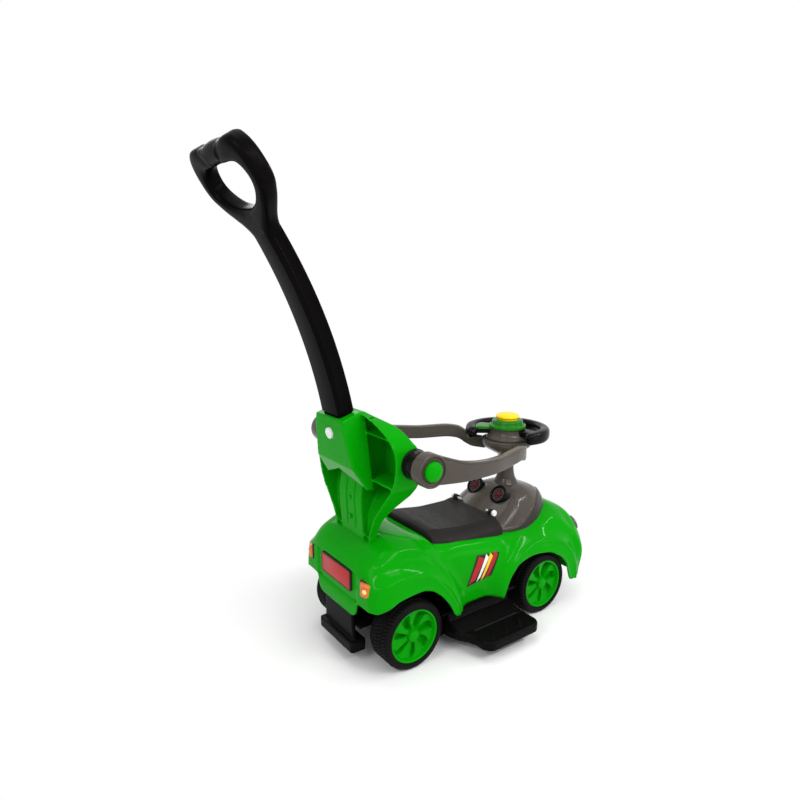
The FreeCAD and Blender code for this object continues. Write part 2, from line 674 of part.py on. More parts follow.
def make_king_pins():
    pins = []
    for y in ("king_y", "0 - king_y"):
        pin = rod("wheelbase", y, f"{FORK_LOW} - 1", "king_radius", "2 * fork_rise + 2 * fork_thick + 2")
        head = rod("wheelbase", y, f"{FORK_HIGH} + fork_thick", "king_radius * 1.6", "3")
        pins.append(fuse(None, [pin, head]))
    return group("king_pins", pins)


def make_knuckle(side, sign):
    high = "2 * fork_rise - 2 * gap"
    edge = {1: "king_y - 9", -1: "0 - king_y - 9"}[sign]
    arm_y = {1: "king_y - 5", -1: "0 - king_y - 5"}[sign]
    pin_y = {1: "king_y", -1: "0 - king_y"}[sign]
    axle_y = {1: "king_y + 6", -1: "0 - tyre_inner_face - hub_end"}[sign]
    parts = [box("wheelbase - 8", edge, ARM_LOW, "16", "18", high),
             rod("wheelbase", axle_y, "wheel_radius", "axle_radius",
                 "tyre_inner_face + hub_end - king_y - 6", Y_AXIS),
             box("wheelbase - crank - 6", arm_y, ARM_LOW, "crank", "10", "arm_thick"),
             rod("wheelbase - crank", pin_y, f"{ROD_LOW} - 1", "pin_radius", "arm_thick + gap + 2")]
    bore = rod("wheelbase", pin_y, "0", "king_radius + fit", "2 * wheel_radius")
    return cut(f"steering_knuckle_{side}", fuse(None, parts), [bore])


def make_tie_rod():
    bar = [box("wheelbase - crank - 5", "0 - king_y - 7", ROD_LOW, "10", "2 * king_y + 14", "arm_thick"),
           box("wheelbase - crank - 5", "0 - 8", ROD_LOW, "steer_x - wheelbase + 11", "16", "arm_thick")]
    holes = [rod(x, y, "0", "pin_radius + fit", "2 * wheel_radius")
             for x, y in (("wheelbase - crank", "king_y"), ("wheelbase - crank", "0 - king_y"),
                          ("steer_x - crank", "0"))]
    return cut("tie_rod", fuse(None, bar), holes)


def make_steering_shaft():
    bar = rod("steer_x", "0", f"{ARM_LOW}", "shaft_radius", f"ring_z + 6 - ({ARM_LOW})")
    arm = box("steer_x - crank - 6", "0 - 6", ARM_LOW, "crank + 6", "12", "arm_thick")
    pin = rod("steer_x - crank", "0", f"{ROD_LOW} - 1", "pin_radius", "arm_thick + gap + 2")
    return fuse("steering_shaft", [bar, arm, pin])


def make_column_housing():
    foot = "bonnet_z + gap"
    bore = "shaft_radius + fit"
    body = turned("column_housing", [
        (bore, foot), ("column_foot", foot), ("column_foot", "console_z - 4"),
        ("column_neck + 3", "console_z + 10"), ("column_neck", "console_z + 32"),
        ("column_neck", "column_top - 38"), ("column_head - 12", "column_top - 22"),
        ("column_head", "column_top - 10"), ("column_head", "column_top"), (bore, "column_top")],
        "XZ_Plane")
    body.Placement = FreeCAD.Placement(Vec(d.steer_x, 0, 0), FreeCAD.Rotation())


def make_steering_wheel():
    """A wheel whose rim is open towards the rider, with three spokes."""
    middle = Vec(d.steer_x, 0, d.ring_z)
    ring = doc.addObject("Part::Torus", "ring")
    bind(ring, Radius1="ring_radius", Radius2="ring_tube", Angle3="360 - ring_gap")
    ring.Placement = FreeCAD.Placement(middle, FreeCAD.Rotation(Z_AXIS, d.ring_turn - 180 + d.ring_gap / 2))
    hub_low = "column_top + gap"
    hub = rod("steer_x", "0", hub_low, "steer_hub", f"ring_z + 8 - ({hub_low})")
    parts = [ring, hub]
    for angle in (180 - d.ring_gap / 2, d.ring_gap / 2 - 180):
        tip = doc.addObject("Part::Sphere", "tip")
        bind(tip, Radius="ring_tube + 1")
        turn = FreeCAD.Rotation(Z_AXIS, d.ring_turn + angle)
        tip.Placement.Base = middle + turn.multVec(X_AXIS * d.ring_radius)
        parts.append(tip)
    for angle in (0, 100, -100):
        spoke = doc.addObject("Part::Box", "spoke")
        bind(spoke, Length="ring_radius", Width="spoke_span", Height="12")
        turn = FreeCAD.Rotation(Z_AXIS, d.ring_turn + angle)
        corner = middle + turn.multVec(Vec(0, -d.spoke_span / 2, -6))
        spoke.Placement = FreeCAD.Placement(corner, turn)
        parts.append(spoke)
    bore = rod("steer_x", "0", "0", "shaft_radius", "ring_z + 6")
    return cut("steering_wheel", fuse(None, parts), [bore])


PAD_LOW = "ring_z + 8 + gap"
PAD_FLOOR = f"{PAD_LOW} + 4"


def make_horn():
    hole = "horn_radius + gap"
    pad = turned("horn_pad", [
        ("steer_hub / 3", PAD_LOW), ("pad_radius", PAD_LOW),
        ("pad_radius", f"{PAD_LOW} + pad_height * 0.4"),
        ("pad_radius - 4", f"{PAD_LOW} + pad_height * 0.8"), ("pad_radius - 10", f"{PAD_LOW} + pad_height"),
        (hole, f"{PAD_LOW} + pad_height - 2"), (hole, PAD_FLOOR), ("steer_hub / 3", PAD_FLOOR)], "XZ_Plane")
    low = f"{PAD_FLOOR} + horn_travel + 1"
    button = turned("horn_button", [
        ("0", low), ("horn_radius", low), ("horn_radius", "horn_top - 6"),
        ("horn_radius - 3", "horn_top - 2"), ("horn_radius / 2", "horn_top"), ("0", "horn_top")],
        "XZ_Plane")
    for body in (pad, button):
        body.Placement = FreeCAD.Placement(Vec(d.steer_x, 0, 0), FreeCAD.Rotation())


def make_horn_spring():
    """A short coil that stands on the pad's floor and reaches the button."""
    wire = 0.6
    low = value_of(PAD_FLOOR) + wire + 0.05
    tall = d.horn_travel + 1 - 2 * wire - 0.1
    coil = Part.makeHelix(tall / 1.5, tall, d.horn_radius / 2)
    start = Part.Wire([Part.makeCircle(wire, Vec(d.horn_radius / 2, 0, 0), Y_AXIS)])
    spring = Part.Wire(coil.Edges).makePipeShell([start], True, True)
    spring.translate(Vec(d.steer_x, 0, low))
    return spring


# Seat, storage bin, console and dial pods

def seat_front():
    return d.seat_hinge_x - 3


def hinge_round(radius, inner, outer):
    """A round bar on the seat's hinge line, between two distances from the middle plane."""
    return Part.makeCylinder(radius, outer - inner, Vec(d.seat_hinge_x, inner, d.seat_hinge_z), Y_AXIS)


def make_seat(body_clear):
    start, end = d.seat_start, seat_front()
    edge = d.seat_hinge_z - 2
    half = [(start, d.seat_half - 9), (start + 40, d.seat_half), (end, d.seat_half)]
    top = [(start, d.seat_z + 6), (start + 12, d.seat_z + 8), (start + 40, d.seat_z + 4),
           (start + 95, d.seat_z - 3), (end - 20, d.seat_z - 4), (end, edge - 1)]
    steps = 10
    stations = [start + (end - start) * i / steps for i in range(steps + 1)]
    low = d.sill_z + 40
    lid = Part.makeLoft([hoop(x, smooth(half, x), smooth(top, x), low, 7) for x in stations], True, False)
    well = block(d.bin_start, d.bin_end, -d.bin_half, d.bin_half, low - 10, d.seat_z - 13)
    lid = lid.cut([body_clear, well])
    outer = d.hinge_y + d.lug_width
    lug = hinge_round(d.lug_radius, d.hinge_y, outer)
    web = block(end - 12, d.seat_hinge_x, d.hinge_y, outer,
                d.seat_hinge_z - d.lug_radius + 1, d.seat_hinge_z - 3)
    lid = lid.fuse([lug, mirrored(lug), web, mirrored(web)])
    bore = hinge_round(d.hinge_pin + d.fit, -outer - 1, outer + 1)
    head = hinge_round(d.pin_head + d.gap, outer, outer + d.pin_cap + 2 * d.gap)
    return lid.cut([bore, head, mirrored(head)]).removeSplitter()


def hinge_pin():
    """A pin through one seat lug, with a round head on its outer end."""
    outer = d.hinge_y + d.lug_width + 2 * d.gap
    shank = hinge_round(d.hinge_pin, d.hinge_y - 10, outer + 1)
    return shank.fuse(hinge_round(d.pin_head, outer, outer + d.pin_cap)).removeSplitter()


def make_console(body_clear, dials):
    start, end = seat_front() + 2 * d.gap, d.console_end
    half = [(start, d.seat_half + 2), (start + 46, d.seat_half + 7), (d.steer_x, d.seat_half + 3),
            (end - 49, d.seat_half - 15), (end - 19, d.seat_half - 42), (end, 12)]
    top = [(start, d.seat_hinge_z - 3), (start + 19, d.console_z - 26), (start + 42, d.console_z - 12),
           (start + 67, d.console_z - 2), (d.steer_x + 6, d.console_z), (end - 49, d.console_z - 9),
           (end - 19, d.console_z - 24), (end, d.console_z - 46)]
    steps = 12
    stations = [start + (end - start) * i / steps for i in range(steps + 1)]
    wires = [hoop(x, smooth(half, x), smooth(top, x), d.sill_z + 60, 2.7) for x in stations]
    form = Part.makeLoft(wires, True, False)
    inner, outer = d.hinge_y - 2 * d.gap, d.hinge_y + d.lug_width + 2 * d.gap
    slot = hinge_round(d.lug_radius + 2 * d.gap, inner, outer)
    pin = hinge_round(d.hinge_pin + 0.05, inner - 12, outer + 1)
    head = hinge_round(d.pin_head + 0.1, outer - 1, outer + d.pin_cap + 1)
    column = Part.makeCylinder(d.column_foot + d.gap, d.console_z, Vec(d.steer_x, 0, d.sill_z))
    tools = [body_clear, column]
    for tool in (slot, pin, head):
        tools += [tool, mirrored(tool)]
    return form.cut(tools + dials)


def dial_body(extra):
    """A dial pod's round outside, larger by extra."""
    tilt = math.radians(d.dial_tilt)
    out = Vec(-math.sin(tilt), 0, math.cos(tilt))
    deep = 32
    base = Vec(d.dial_x, d.dial_y, d.dial_z) - out * (deep + extra)
    return Part.makeCylinder(d.dial_radius + extra, deep + extra, base, out), out


def make_dial():
    pod, out = dial_body(0)
    face = Vec(d.dial_x, d.dial_y, d.dial_z)
    dish = Part.makeCylinder(d.dial_radius - 3.5, 3, face - out * 3, out)
    boss = Part.makeCylinder(d.dial_radius / 3, 2.5, face - out * 3.5, out)
    return pod.cut(dish).fuse(boss).removeSplitter()


def make_bin():
    outer = box("bin_start", "0 - bin_half", "sill_z", "bin_end - bin_start", "2 * bin_half",
                "bin_rim - sill_z")
    inner = box("bin_start + wall", "wall - bin_half", "sill_z + wall", "bin_end - bin_start - 2 * wall",
                "2 * bin_half - 2 * wall", "bin_rim - sill_z")
    return cut("storage_bin", outer, [inner])


# Backrest with the handle's socket

def back_half(extra):
    """Half width of the backrest by height, wider by extra."""
    base, wing = d.back_base, d.wing_half
    low, rise = d.back_low, d.wing_low - d.back_low
    line = [(low, base), (low + 0.18 * rise, base + 2), (low + 0.39 * rise, base + 14),
            (low + 0.59 * rise, base + 32), (low + 0.74 * rise, base + 47), (low + 0.87 * rise, wing - 13),
            (d.wing_low, wing - 3), (d.wing_low + 16, wing), (d.wing_top - 26, wing),
            (d.wing_top - 6, wing - 8), ((d.wing_top + d.back_top) / 2, wing - 40),
            (d.back_top, d.collar_half - 4)]
    return [(z, y + extra) for z, y in line]


def back_front(extra):
    """Front face of the backrest by height: thin below, out at the wings, thin at the top."""
    low, wing, hub, top = d.back_low, d.wing_low, d.hub_z, d.back_top
    line = [(low, -34), (low + 51, -34), (low + 77, -26), (low + 97, -13), (wing - 20, -1), (wing, 5),
            (hub, 7), (hub + 20, 4), (d.wing_top - 3, -9), (d.wing_top + 10, -16), (top - 5, -40),
            (top, -46)]
    return [(z, x + extra) for z, x in line]


def back_rear(extra):
    """Rear edge of the backrest by height."""
    low, top = d.back_low, d.back_top
    line = [(low, -50), (low + 30, -51), (low + 86, -54), (d.wing_low, -48), (d.hub_z, -42),
            (d.wing_top, -50), (top, -58)]
    return [(z, x - extra) for z, x in line]


def between(first, second, place, carry):
    """The space between two smooth lines by height, carried along a direction."""
    steps = 36
    low, high = d.back_low, d.back_top
    levels = [low + (high - low) * i / steps for i in range(steps + 1)]
    up = [place(smooth(first, z), z) for z in levels]
    down = [place(smooth(second, z), z) for z in reversed(levels)]
    edges = [curve_through(up), Part.makeLine(up[-1], down[0]),
             curve_through(down), Part.makeLine(down[-1], up[0])]
    return Part.Face(Part.Wire(edges)).extrude(carry)


def width_prism(line):
    """The backrest's front view, carried along X."""
    far = 200
    right = [(z, -y) for z, y in line]
    return between(right, line, lambda y, z: Vec(-far, y, z), Vec(2 * far, 0, 0))


def depth_prism(rear, front):
    """The backrest's side view, carried along Y."""
    half = d.wing_half + 20
    return between(rear, front, lambda x, z: Vec(x, -half, z), Vec(0, 2 * half, 0))


def collar_form():
    """The shield-shaped boss behind the backrest that the handle plugs into."""
    far = 200
    arch = d.collar_low + 26
    shield = outline([Vec(-far, y, z) for y, z in (
        (-d.collar_half, d.back_top), (d.collar_half, d.back_top), (d.collar_skirt, d.collar_low),
        (d.collar_skirt - 22, d.collar_low + 8), (0, arch), (22 - d.collar_skirt, d.collar_low + 8),
        (-d.collar_skirt, d.collar_low))])
    prism = Part.Face(shield).extrude(Vec(2 * far, 0, 0))
    back = d.collar_back
    side = prism_y([(back + 50, d.collar_low - 5), (back + 50, d.back_top), (back + 40, d.back_top),
                    (back + 3, d.back_top - 11), (back + 4, d.wing_top), (back + 13, d.wing_low + 25),
                    (back + 38, d.collar_low)], -far, far)
    return prism.common(side)


def make_backrest():
    half = d.wing_half + 20
    core = width_prism(back_half(0)).common(depth_prism(back_rear(0), back_front(0)))
    skin = 5
    hollow = width_prism(back_half(-skin)).common(depth_prism(back_rear(100), back_front(-skin)))
    column = block(-200, 200, -d.collar_half + 6, d.collar_half - 6, 0, d.back_top + 10)
    ribs = [block(-200, 200, -half, half, z, z + skin - 2)
            for z in (d.back_low + 22, d.wing_low, d.wing_top - 4, d.back_top - skin)]
    hollow = hollow.cut([column] + ribs)
    rest = core.cut(hollow).fuse(collar_form())
    socket = stem_solid(-d.tang_length - 1, 0, d.tang_wide + 2 * d.gap, d.tang_deep + 2 * d.gap)
    mouth = stem_solid(-d.gap, 60, d.shaft_wide + 2 * d.gap, d.shaft_deep + 2 * d.gap)
    lock = lock_round(d.lock_radius + d.gap, lock_length() + d.lock_travel + 2 * d.lock_clear)
    return rest.cut([socket, mouth, lock] + back_screws(d.gap))


def back_screws(extra):
    return [Part.makeCylinder(d.screw_head + extra, 16 + extra, Vec(-56, 0, z), X_AXIS)
            for z in (d.back_low + 48, d.back_low + 84)]


# Push handle: a tang in the socket, a bowed stem and a loop grip

def handle_frame(run):
    """Middle of the handle and its axes, a run above the socket's mouth."""
    steps = 40
    point = Vec(d.handle_x, 0, d.handle_z)
    lean = math.radians(d.handle_lean)
    share = d.handle_bend / d.handle_run
    for i in range(steps):
        lean = math.radians(d.handle_lean + (share * run * (i + 0.5) / steps if run > 0 else 0))
        point += Vec(-math.sin(lean), 0, math.cos(lean)) * (run / steps)
    up = Vec(-math.sin(lean), 0, math.cos(lean))
    ahead = Vec(math.cos(lean), 0, math.sin(lean))
    return point, up, ahead


def stem_wire(run, wide, deep, bevel):
    """A rectangle with bevelled corners, square to the handle."""
    point, up, ahead = handle_frame(run)
    half, thick = wide / 2, deep / 2
    spots = []
    for sy, sx in ((1, 1), (-1, 1), (-1, -1), (1, -1)):
        pair = [(sy * half, sx * (thick - bevel)), (sy * (half - bevel), sx * thick)]
        spots += pair if sy == sx else pair[::-1]
    return outline([point + Y_AXIS * y + ahead * x for y, x in spots])


def stem_solid(run_from, run_to, wide, deep):
    """A straight bar along the handle at the socket."""
    point, up, ahead = handle_frame(0)
    corner = point + up * run_from - Y_AXIS * (wide / 2) - ahead * (deep / 2)
    across, back = Y_AXIS * wide, ahead * deep
    face = outline([corner, corner + across, corner + across + back, corner + back])
    return Part.Face(face).extrude(up * (run_to - run_from))


def make_handle():
    steps = 8
    wires = []
    for i in range(steps + 1):
        share = i / steps
        wide = d.shaft_wide + (d.stem_wide - d.shaft_wide) * share
        deep = d.shaft_deep + (d.stem_deep - d.shaft_deep) * share
        wires.append(stem_wire(d.handle_run * share, wide, deep, 5))
    stem = Part.makeLoft(wires, True, False)
    tang = stem_solid(-d.tang_length, 1, d.tang_wide, d.tang_deep)
    return stem.fuse([tang, make_loop()]).removeSplitter()


def make_loop():
    """The loop grip: a band that widens from the stem, with a bar between two ears."""
    point = handle_frame(d.handle_run)[0]
    lean = math.radians(d.loop_lean)
    up, ahead = Vec(-math.sin(lean), 0, math.cos(lean)), Vec(math.cos(lean), 0, math.sin(lean))
    half, long, band = d.loop_half, d.loop_length, d.loop_band
    stem = d.stem_wide / 2
    outside = [(stem - 2, -8), (stem + 8, 0.04 * long), (half - 27, 0.29 * long), (half, 0.56 * long),
               (half - 3, 0.8 * long), (half - 14, 0.93 * long), (half - 34, long),
               (half - 58, 0.985 * long), (half - 68, 0.95 * long)]
    inside = [(0, band + 17), (half - band - 34, 0.32 * long), (half - band - 5, 0.45 * long),
              (half - band, 0.54 * long), (half - band - 6, 0.67 * long), (half - band - 24, 0.75 * long)]

    def ring(right, closed_low):
        left = [(-y, s) for y, s in reversed(right) if y > 0]
        spots = [point + Y_AXIS * y + up * s - ahead * (d.loop_thick / 2) for y, s in right + left]
        if closed_low:
            return Part.Wire([curve_through(spots), Part.makeLine(spots[-1], spots[0])])
        curve = Part.BSplineCurve()
        curve.interpolate(spots, PeriodicFlag=True)
        return Part.Wire([curve.toShape()])

    across = ahead * d.loop_thick
    solid = Part.Face(ring(outside, True)).extrude(across)
    hole = Part.Face(ring(inside, False)).extrude(across)
    return solid.cut(hole)


LOCK_TILT = math.radians(10)


def lock_face():
    return d.collar_back + 4


def lock_length():
    """From the lock button's outer end to a clearance and its travel before the handle."""
    lean = math.radians(d.handle_lean)
    behind = (d.handle_x + (d.handle_z - d.lock_z) * math.tan(lean)
              - d.tang_deep / 2 / math.cos(lean))
    room = (behind - lock_face()) / math.cos(LOCK_TILT)
    return room + d.lock_proud - d.lock_travel - d.lock_clear


def lock_round(radius, length):
    """The lock button's round, square to the collar's rear face, from its outer end inwards."""
    inward = Vec(math.cos(LOCK_TILT), 0, math.sin(LOCK_TILT))
    face = Vec(lock_face(), 0, d.lock_z)
    return Part.makeCylinder(radius, length, face - inward * d.lock_proud, inward)


# Guard arms with their drums and caps

def guard_spots():
    """The right arm from hub to column: place along X, Y and Z, and height there."""
    y = d.hub_face - d.guard_hub_width / 2
    head, front, hub = d.column_top, d.steer_x, d.hub_x
    bend = hub + 118
    straight = front - 84 - bend
    return [(hub, -y, d.hub_z, 2 * d.guard_hub - 10), (hub + 42, -y, d.hub_z - 9, 44),
            (hub + 78, 3 - y, d.hub_z - 17, 35), (bend, 10 - y, d.hub_z - 23, 30),
            (bend + 0.36 * straight, 24 - y, head + 9, 28), (bend + 0.7 * straight, 42 - y, head + 6, 27),
            (front - 84, 57 - y, head + 6, 27), (front - 55, 72 - y, head + 2, 27),
            (front - 41, 87 - y, head - 9, 26), (front - 32, 103 - y, head - 15, 25),
            (front - 12, 140 - y, head - 16, 24)]


def make_guard_arm():
    fine = 3
    lines = [list(enumerate(line)) for line in zip(*guard_spots())]
    steps = fine * (len(lines[0]) - 1)
    spots = [[smooth(line, i / fine) for line in lines] for i in range(steps + 1)]
    wires = []
    for i, (x, y, z, high) in enumerate(spots):
        before, after = spots[max(i - 1, 0)], spots[min(i + 1, len(spots) - 1)]
        along = Vec(after[0] - before[0], after[1] - before[1], 0).normalize()
        across = Z_AXIS.cross(along)
        half, tall, bevel = d.guard_thick / 2, high / 2, 3
        section = []
        for sa, sz in ((1, 1), (-1, 1), (-1, -1), (1, -1)):
            pair = [(sa * half, sz * (tall - bevel)), (sa * (half - bevel), sz * tall)]
            section += pair if sa == sz else pair[::-1]
        wires.append(outline([Vec(x, y, z) + across * a + Z_AXIS * b for a, b in section]))
    arm = Part.makeLoft(wires, True, False)
    hub = Part.makeCylinder(d.guard_hub, d.guard_hub_width, Vec(d.hub_x, -d.hub_face, d.hub_z), Y_AXIS)
    recess = Part.makeCylinder(d.guard_cap + d.gap, 4, Vec(d.hub_x, -d.hub_face, d.hub_z), Y_AXIS)
    column = Part.makeCylinder(d.column_head + d.gap, d.column_top, Vec(d.steer_x, 0, d.sill_z))
    return arm.fuse(hub).cut([recess, column]).removeSplitter()


def make_guard_fittings():
    inner = "wing_half + gap"
    long = "hub_face - guard_hub_width - gap - wing_half - gap"
    for side, start in (("left", inner), ("right", f"0 - ({inner}) - ({long})")):
        drum = rod("hub_x", start, "hub_z", "drum_radius", long, Y_AXIS)
        lip_start = {"left": inner, "right": f"0 - ({inner}) - 4"}[side]
        lip = rod("hub_x", lip_start, "hub_z", "drum_radius + 1.5", "4", Y_AXIS)
        fuse(f"guard_drum_{side}", [drum, lip])
    for side, sign in SIDES:
        cap = turned(f"guard_cap_{side}", [("0", "gap"), ("guard_cap", "gap"), ("guard_cap", "5"),
                                           ("guard_cap - 4", "8"), ("guard_cap / 2", "10"), ("0", "10.5")])
        cap.Placement = FreeCAD.Placement(Vec(d.hub_x, sign * (d.hub_face - 4), d.hub_z),
                                          FreeCAD.Rotation(Z_AXIS, 0 if sign > 0 else 180))


# Lamps, plate, grille, screws and the sound box

def tail_lamp():
    lamp = block(-8, 5, -d.lamp_size / 2, d.lamp_size / 2, -d.lamp_size * 0.6, d.lamp_size * 0.6)
    lamp.rotate(Vec(), Z_AXIS, -38)
    lamp.translate(Vec(d.tail_x + 7, d.belt - 16, (d.plate_low + d.plate_height / 2) + 2))
    return lamp


def head_lamp():
    lens = Part.makeSphere(20)
    lens.translate(Vec(d.nose_x - 20, d.belt - 28, d.bonnet_z - 57))
    return lens


def make_screws():
    low = f"{FLOOR_LOW} - 3"
    heads = [rod(x, y, low, "screw_head", "3")
             for x in ("spine_start + 26", "floor_end + 22") for y in ("prow_half - 10", "10 - prow_half")]
    return group("chassis_screws", heads)


def make_sound_box():
    case = box("prow_end - 72", "8 - prow_half", "sill_z", "64", "2 * prow_half - 16", "34")
    lid = box("prow_end - 68", "12 - prow_half", "sill_z + 34", "56", "2 * prow_half - 24", "3")
    return fuse("sound_box", [case, lid])


def build():
    make_chassis()
    make_rear_axle()
    feature("rear_bumper", make_bumper())
    right_foot = make_footrest()
    feature("footrest_right", right_foot)
    feature("footrest_left", mirrored(right_foot))
    make_front_beam()
    make_king_pins()
    for side, sign in SIDES:
        make_knuckle(side, sign)
    make_tie_rod()
    make_steering_shaft()
    make_column_housing()
    make_steering_wheel()
    make_horn()
    feature("horn_spring", make_horn_spring())
    make_bin()

    outer = body_form(0)
    body_clear = body_form(-d.gap)
    rest_base = width_prism(back_half(d.gap)).common(depth_prism(back_rear(d.gap), back_front(d.gap)))
    feature("body_shell", make_body_shell(outer, [rest_base]))
    feature("seat_lid", make_seat(body_clear))
    pin = hinge_pin()
    feature("seat_hinge_pins", Part.makeCompound([pin, mirrored(pin)]))
    dial_clear = dial_body(0.2)[0]
    feature("console", make_console(body_clear, [dial_clear, mirrored(dial_clear)]))
    dial = make_dial()
    feature("dial_left", dial)
    feature("dial_right", mirrored(dial))

    feature("backrest", make_backrest())
    feature("backrest_screws", Part.makeCompound(back_screws(0)))
    feature("push_handle", make_handle())
    feature("handle_lock_button", lock_round(d.lock_radius, lock_length()))
    arm = make_guard_arm()
    feature("guard_arm_right", arm)
    feature("guard_arm_left", mirrored(arm))
    make_guard_fittings()

    for name, lens in (("tail_lamp", tail_lamp()), ("head_lamp", head_lamp())):
        seated = lens.cut(body_clear)
        feature(name + "_left", seated)
        feature(name + "_right", mirrored(seated))
    plate = block(d.tail_x - 2, d.tail_x + 5, -d.plate_half, d.plate_half,
                  d.plate_low, d.plate_low + d.plate_height)
    feature("rear_plate", plate.cut(body_clear))
    grille = block(d.nose_x - 4, d.nose_x + 4, -40, 40, d.nose_low + 32, d.nose_low + 64)
    feature("front_grille", grille.cut(body_clear))
    make_screws()
    make_sound_box()


def centre_on_origin():
    """Moves every piece so that the origin is below the middle of the whole car."""
    boxes = [obj.Shape.BoundBox for obj in pieces.values()]
    middle = (min(b.XMin for b in boxes) + max(b.XMax for b in boxes)) / 2
    shift = FreeCAD.Placement(Vec(-middle, 0, 0), FreeCAD.Rotation())
    for obj in pieces.values():
        obj.Placement = shift.multiply(obj.Placement)
    doc.recompute()
    print("rear axle at x =", round(-middle, 3))


def check():
    for obj in doc.Objects:
        if {"Invalid", "Error"} & set(obj.State):
            raise RuntimeError(f"{obj.Label} failed: {obj.State}")
    for label, obj in pieces.items():
        if obj.Shape.isNull() or not obj.Shape.isValid() or not obj.Shape.Solids:
            raise RuntimeError(f"{label} has no valid solid")


def export():
    os.makedirs("parts", exist_ok=True)
    for label, obj in pieces.items():
        obj.Shape.exportStep(f"parts/{label}.step")
        print(label, len(obj.Shape.Solids), round(obj.Shape.Volume))


build()
doc.removeObject(probe.Name)
doc.recompute()
centre_on_origin()
check()
export()
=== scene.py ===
import json
import math

import bmesh
import bpy
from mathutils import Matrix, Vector


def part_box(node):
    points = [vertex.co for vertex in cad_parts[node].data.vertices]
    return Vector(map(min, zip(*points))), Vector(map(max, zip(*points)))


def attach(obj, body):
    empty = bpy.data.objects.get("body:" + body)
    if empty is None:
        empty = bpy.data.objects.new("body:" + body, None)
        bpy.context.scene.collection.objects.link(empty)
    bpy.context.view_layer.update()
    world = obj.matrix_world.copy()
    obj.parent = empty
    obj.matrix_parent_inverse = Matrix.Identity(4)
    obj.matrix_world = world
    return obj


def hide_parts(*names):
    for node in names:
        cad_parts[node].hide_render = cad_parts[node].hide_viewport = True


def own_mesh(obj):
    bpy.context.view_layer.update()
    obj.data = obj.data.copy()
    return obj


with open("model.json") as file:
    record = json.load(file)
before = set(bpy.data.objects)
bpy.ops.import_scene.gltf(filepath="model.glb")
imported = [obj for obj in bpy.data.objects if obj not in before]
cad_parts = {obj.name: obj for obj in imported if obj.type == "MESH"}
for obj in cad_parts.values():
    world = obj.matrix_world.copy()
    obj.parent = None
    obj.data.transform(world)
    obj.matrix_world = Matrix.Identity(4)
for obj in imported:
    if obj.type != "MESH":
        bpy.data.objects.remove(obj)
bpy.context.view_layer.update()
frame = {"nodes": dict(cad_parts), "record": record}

MM = 1000  # millimetres in a metre
SIDES = (("left", 1), ("right", -1))
UP = (0, 0, 1)

# Shapes are written in millimetres from the rear axle's middle on the ground,
# with +X forward, +Y left and +Z up, and are moved into the frame here.

axle_low, axle_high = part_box("rear_axle")
AXLE_X = (axle_low[0] + axle_high[0]) / 2 * MM
WHEELBASE, WHEEL_R = 330.0, 64.0


def spot(x, y, z):
    """A place in the frame, in metres."""
    return Vector(((x + AXLE_X) / MM, y / MM, z / MM))


def linked(name, data):
    """A new object in the scene."""
    made = bpy.data.objects.new(name, data)
    bpy.context.scene.collection.objects.link(made)
    return made


# Camera

def place_camera():
    data = bpy.data.cameras.new("camera")
    data.lens, data.sensor_width, data.sensor_fit = 28.13, 36, "HORIZONTAL"
    data.clip_start, data.clip_end = 0.05, 60
    camera = linked("camera", data)
    pan, tilt = math.radians(35.34), math.radians(11.69)
    look = Vector((math.sin(pan) * math.cos(tilt), math.cos(pan) * math.cos(tilt), -math.sin(tilt)))
    camera.location = spot(-599.1, -925.1, 698.1)
    camera.rotation_euler = look.to_track_quat("-Z", "Y").to_euler()
    bpy.context.scene.camera = camera


# Materials

class Shader:
    """A node material that is built up socket by socket."""

    def __init__(self, name):
        self.material = bpy.data.materials.new(name)
        self.material.use_nodes = True
        self.tree = self.material.node_tree
        self.surface = self.tree.nodes["Principled BSDF"]
        self.coords = self.tree.nodes.new("ShaderNodeTexCoord")

    def node(self, kind, **values):
        made = self.tree.nodes.new(kind)
        for key, value in values.items():
            if key in made.inputs:
                made.inputs[key].default_value = value
            else:
                setattr(made, key, value)
        return made

    def link(self, source, target):
        self.tree.links.new(source, target)

    def feed(self, name, source):
        """Joins a socket to one of the surface's inputs."""
        self.link(source, self.surface.inputs[name])

    def set(self, **values):
        for key, value in values.items():
            self.surface.inputs[key.replace("_", " ")].default_value = value

    def noise(self, scale, detail=3.0, rough=0.5, stretch=None):
        texture = self.node("ShaderNodeTexNoise", Scale=scale, Detail=detail, Roughness=rough)
        place = self.coords.outputs["Object"]
        if stretch:
            mapping = self.node("ShaderNodeMapping")
            mapping.inputs["Scale"].default_value = stretch
            self.link(place, mapping.inputs["Vector"])
            place = mapping.outputs["Vector"]
        self.link(place, texture.inputs["Vector"])
        return texture.outputs["Fac"]

    def span(self, value, low, high, start=0.3, end=0.7):
        """Maps a texture's value to a range."""
        node = self.node("ShaderNodeMapRange")
        for key, number in zip(("From Min", "From Max", "To Min", "To Max"), (start, end, low, high)):
            node.inputs[key].default_value = number
        self.link(value, node.inputs["Value"])
        return node.outputs["Result"]

    def mix(self, factor, first, second):
        node = self.node("ShaderNodeMix", data_type="RGBA")
        for socket, colour in ((node.inputs[6], first), (node.inputs[7], second)):
            if hasattr(colour, "is_output"):
                self.link(colour, socket)
            else:
                socket.default_value = (*colour, 1)
        self.link(factor, node.inputs[0])
        return node.outputs[2]

    def bump(self, height, strength, distance):
        node = self.node("ShaderNodeBump", Strength=strength, Distance=distance)
        self.link(height, node.inputs["Height"])
        previous = self.surface.inputs["Normal"].links
        if previous:
            self.link(previous[0].from_socket, node.inputs["Normal"])
        self.link(node.outputs["Normal"], self.surface.inputs["Normal"])


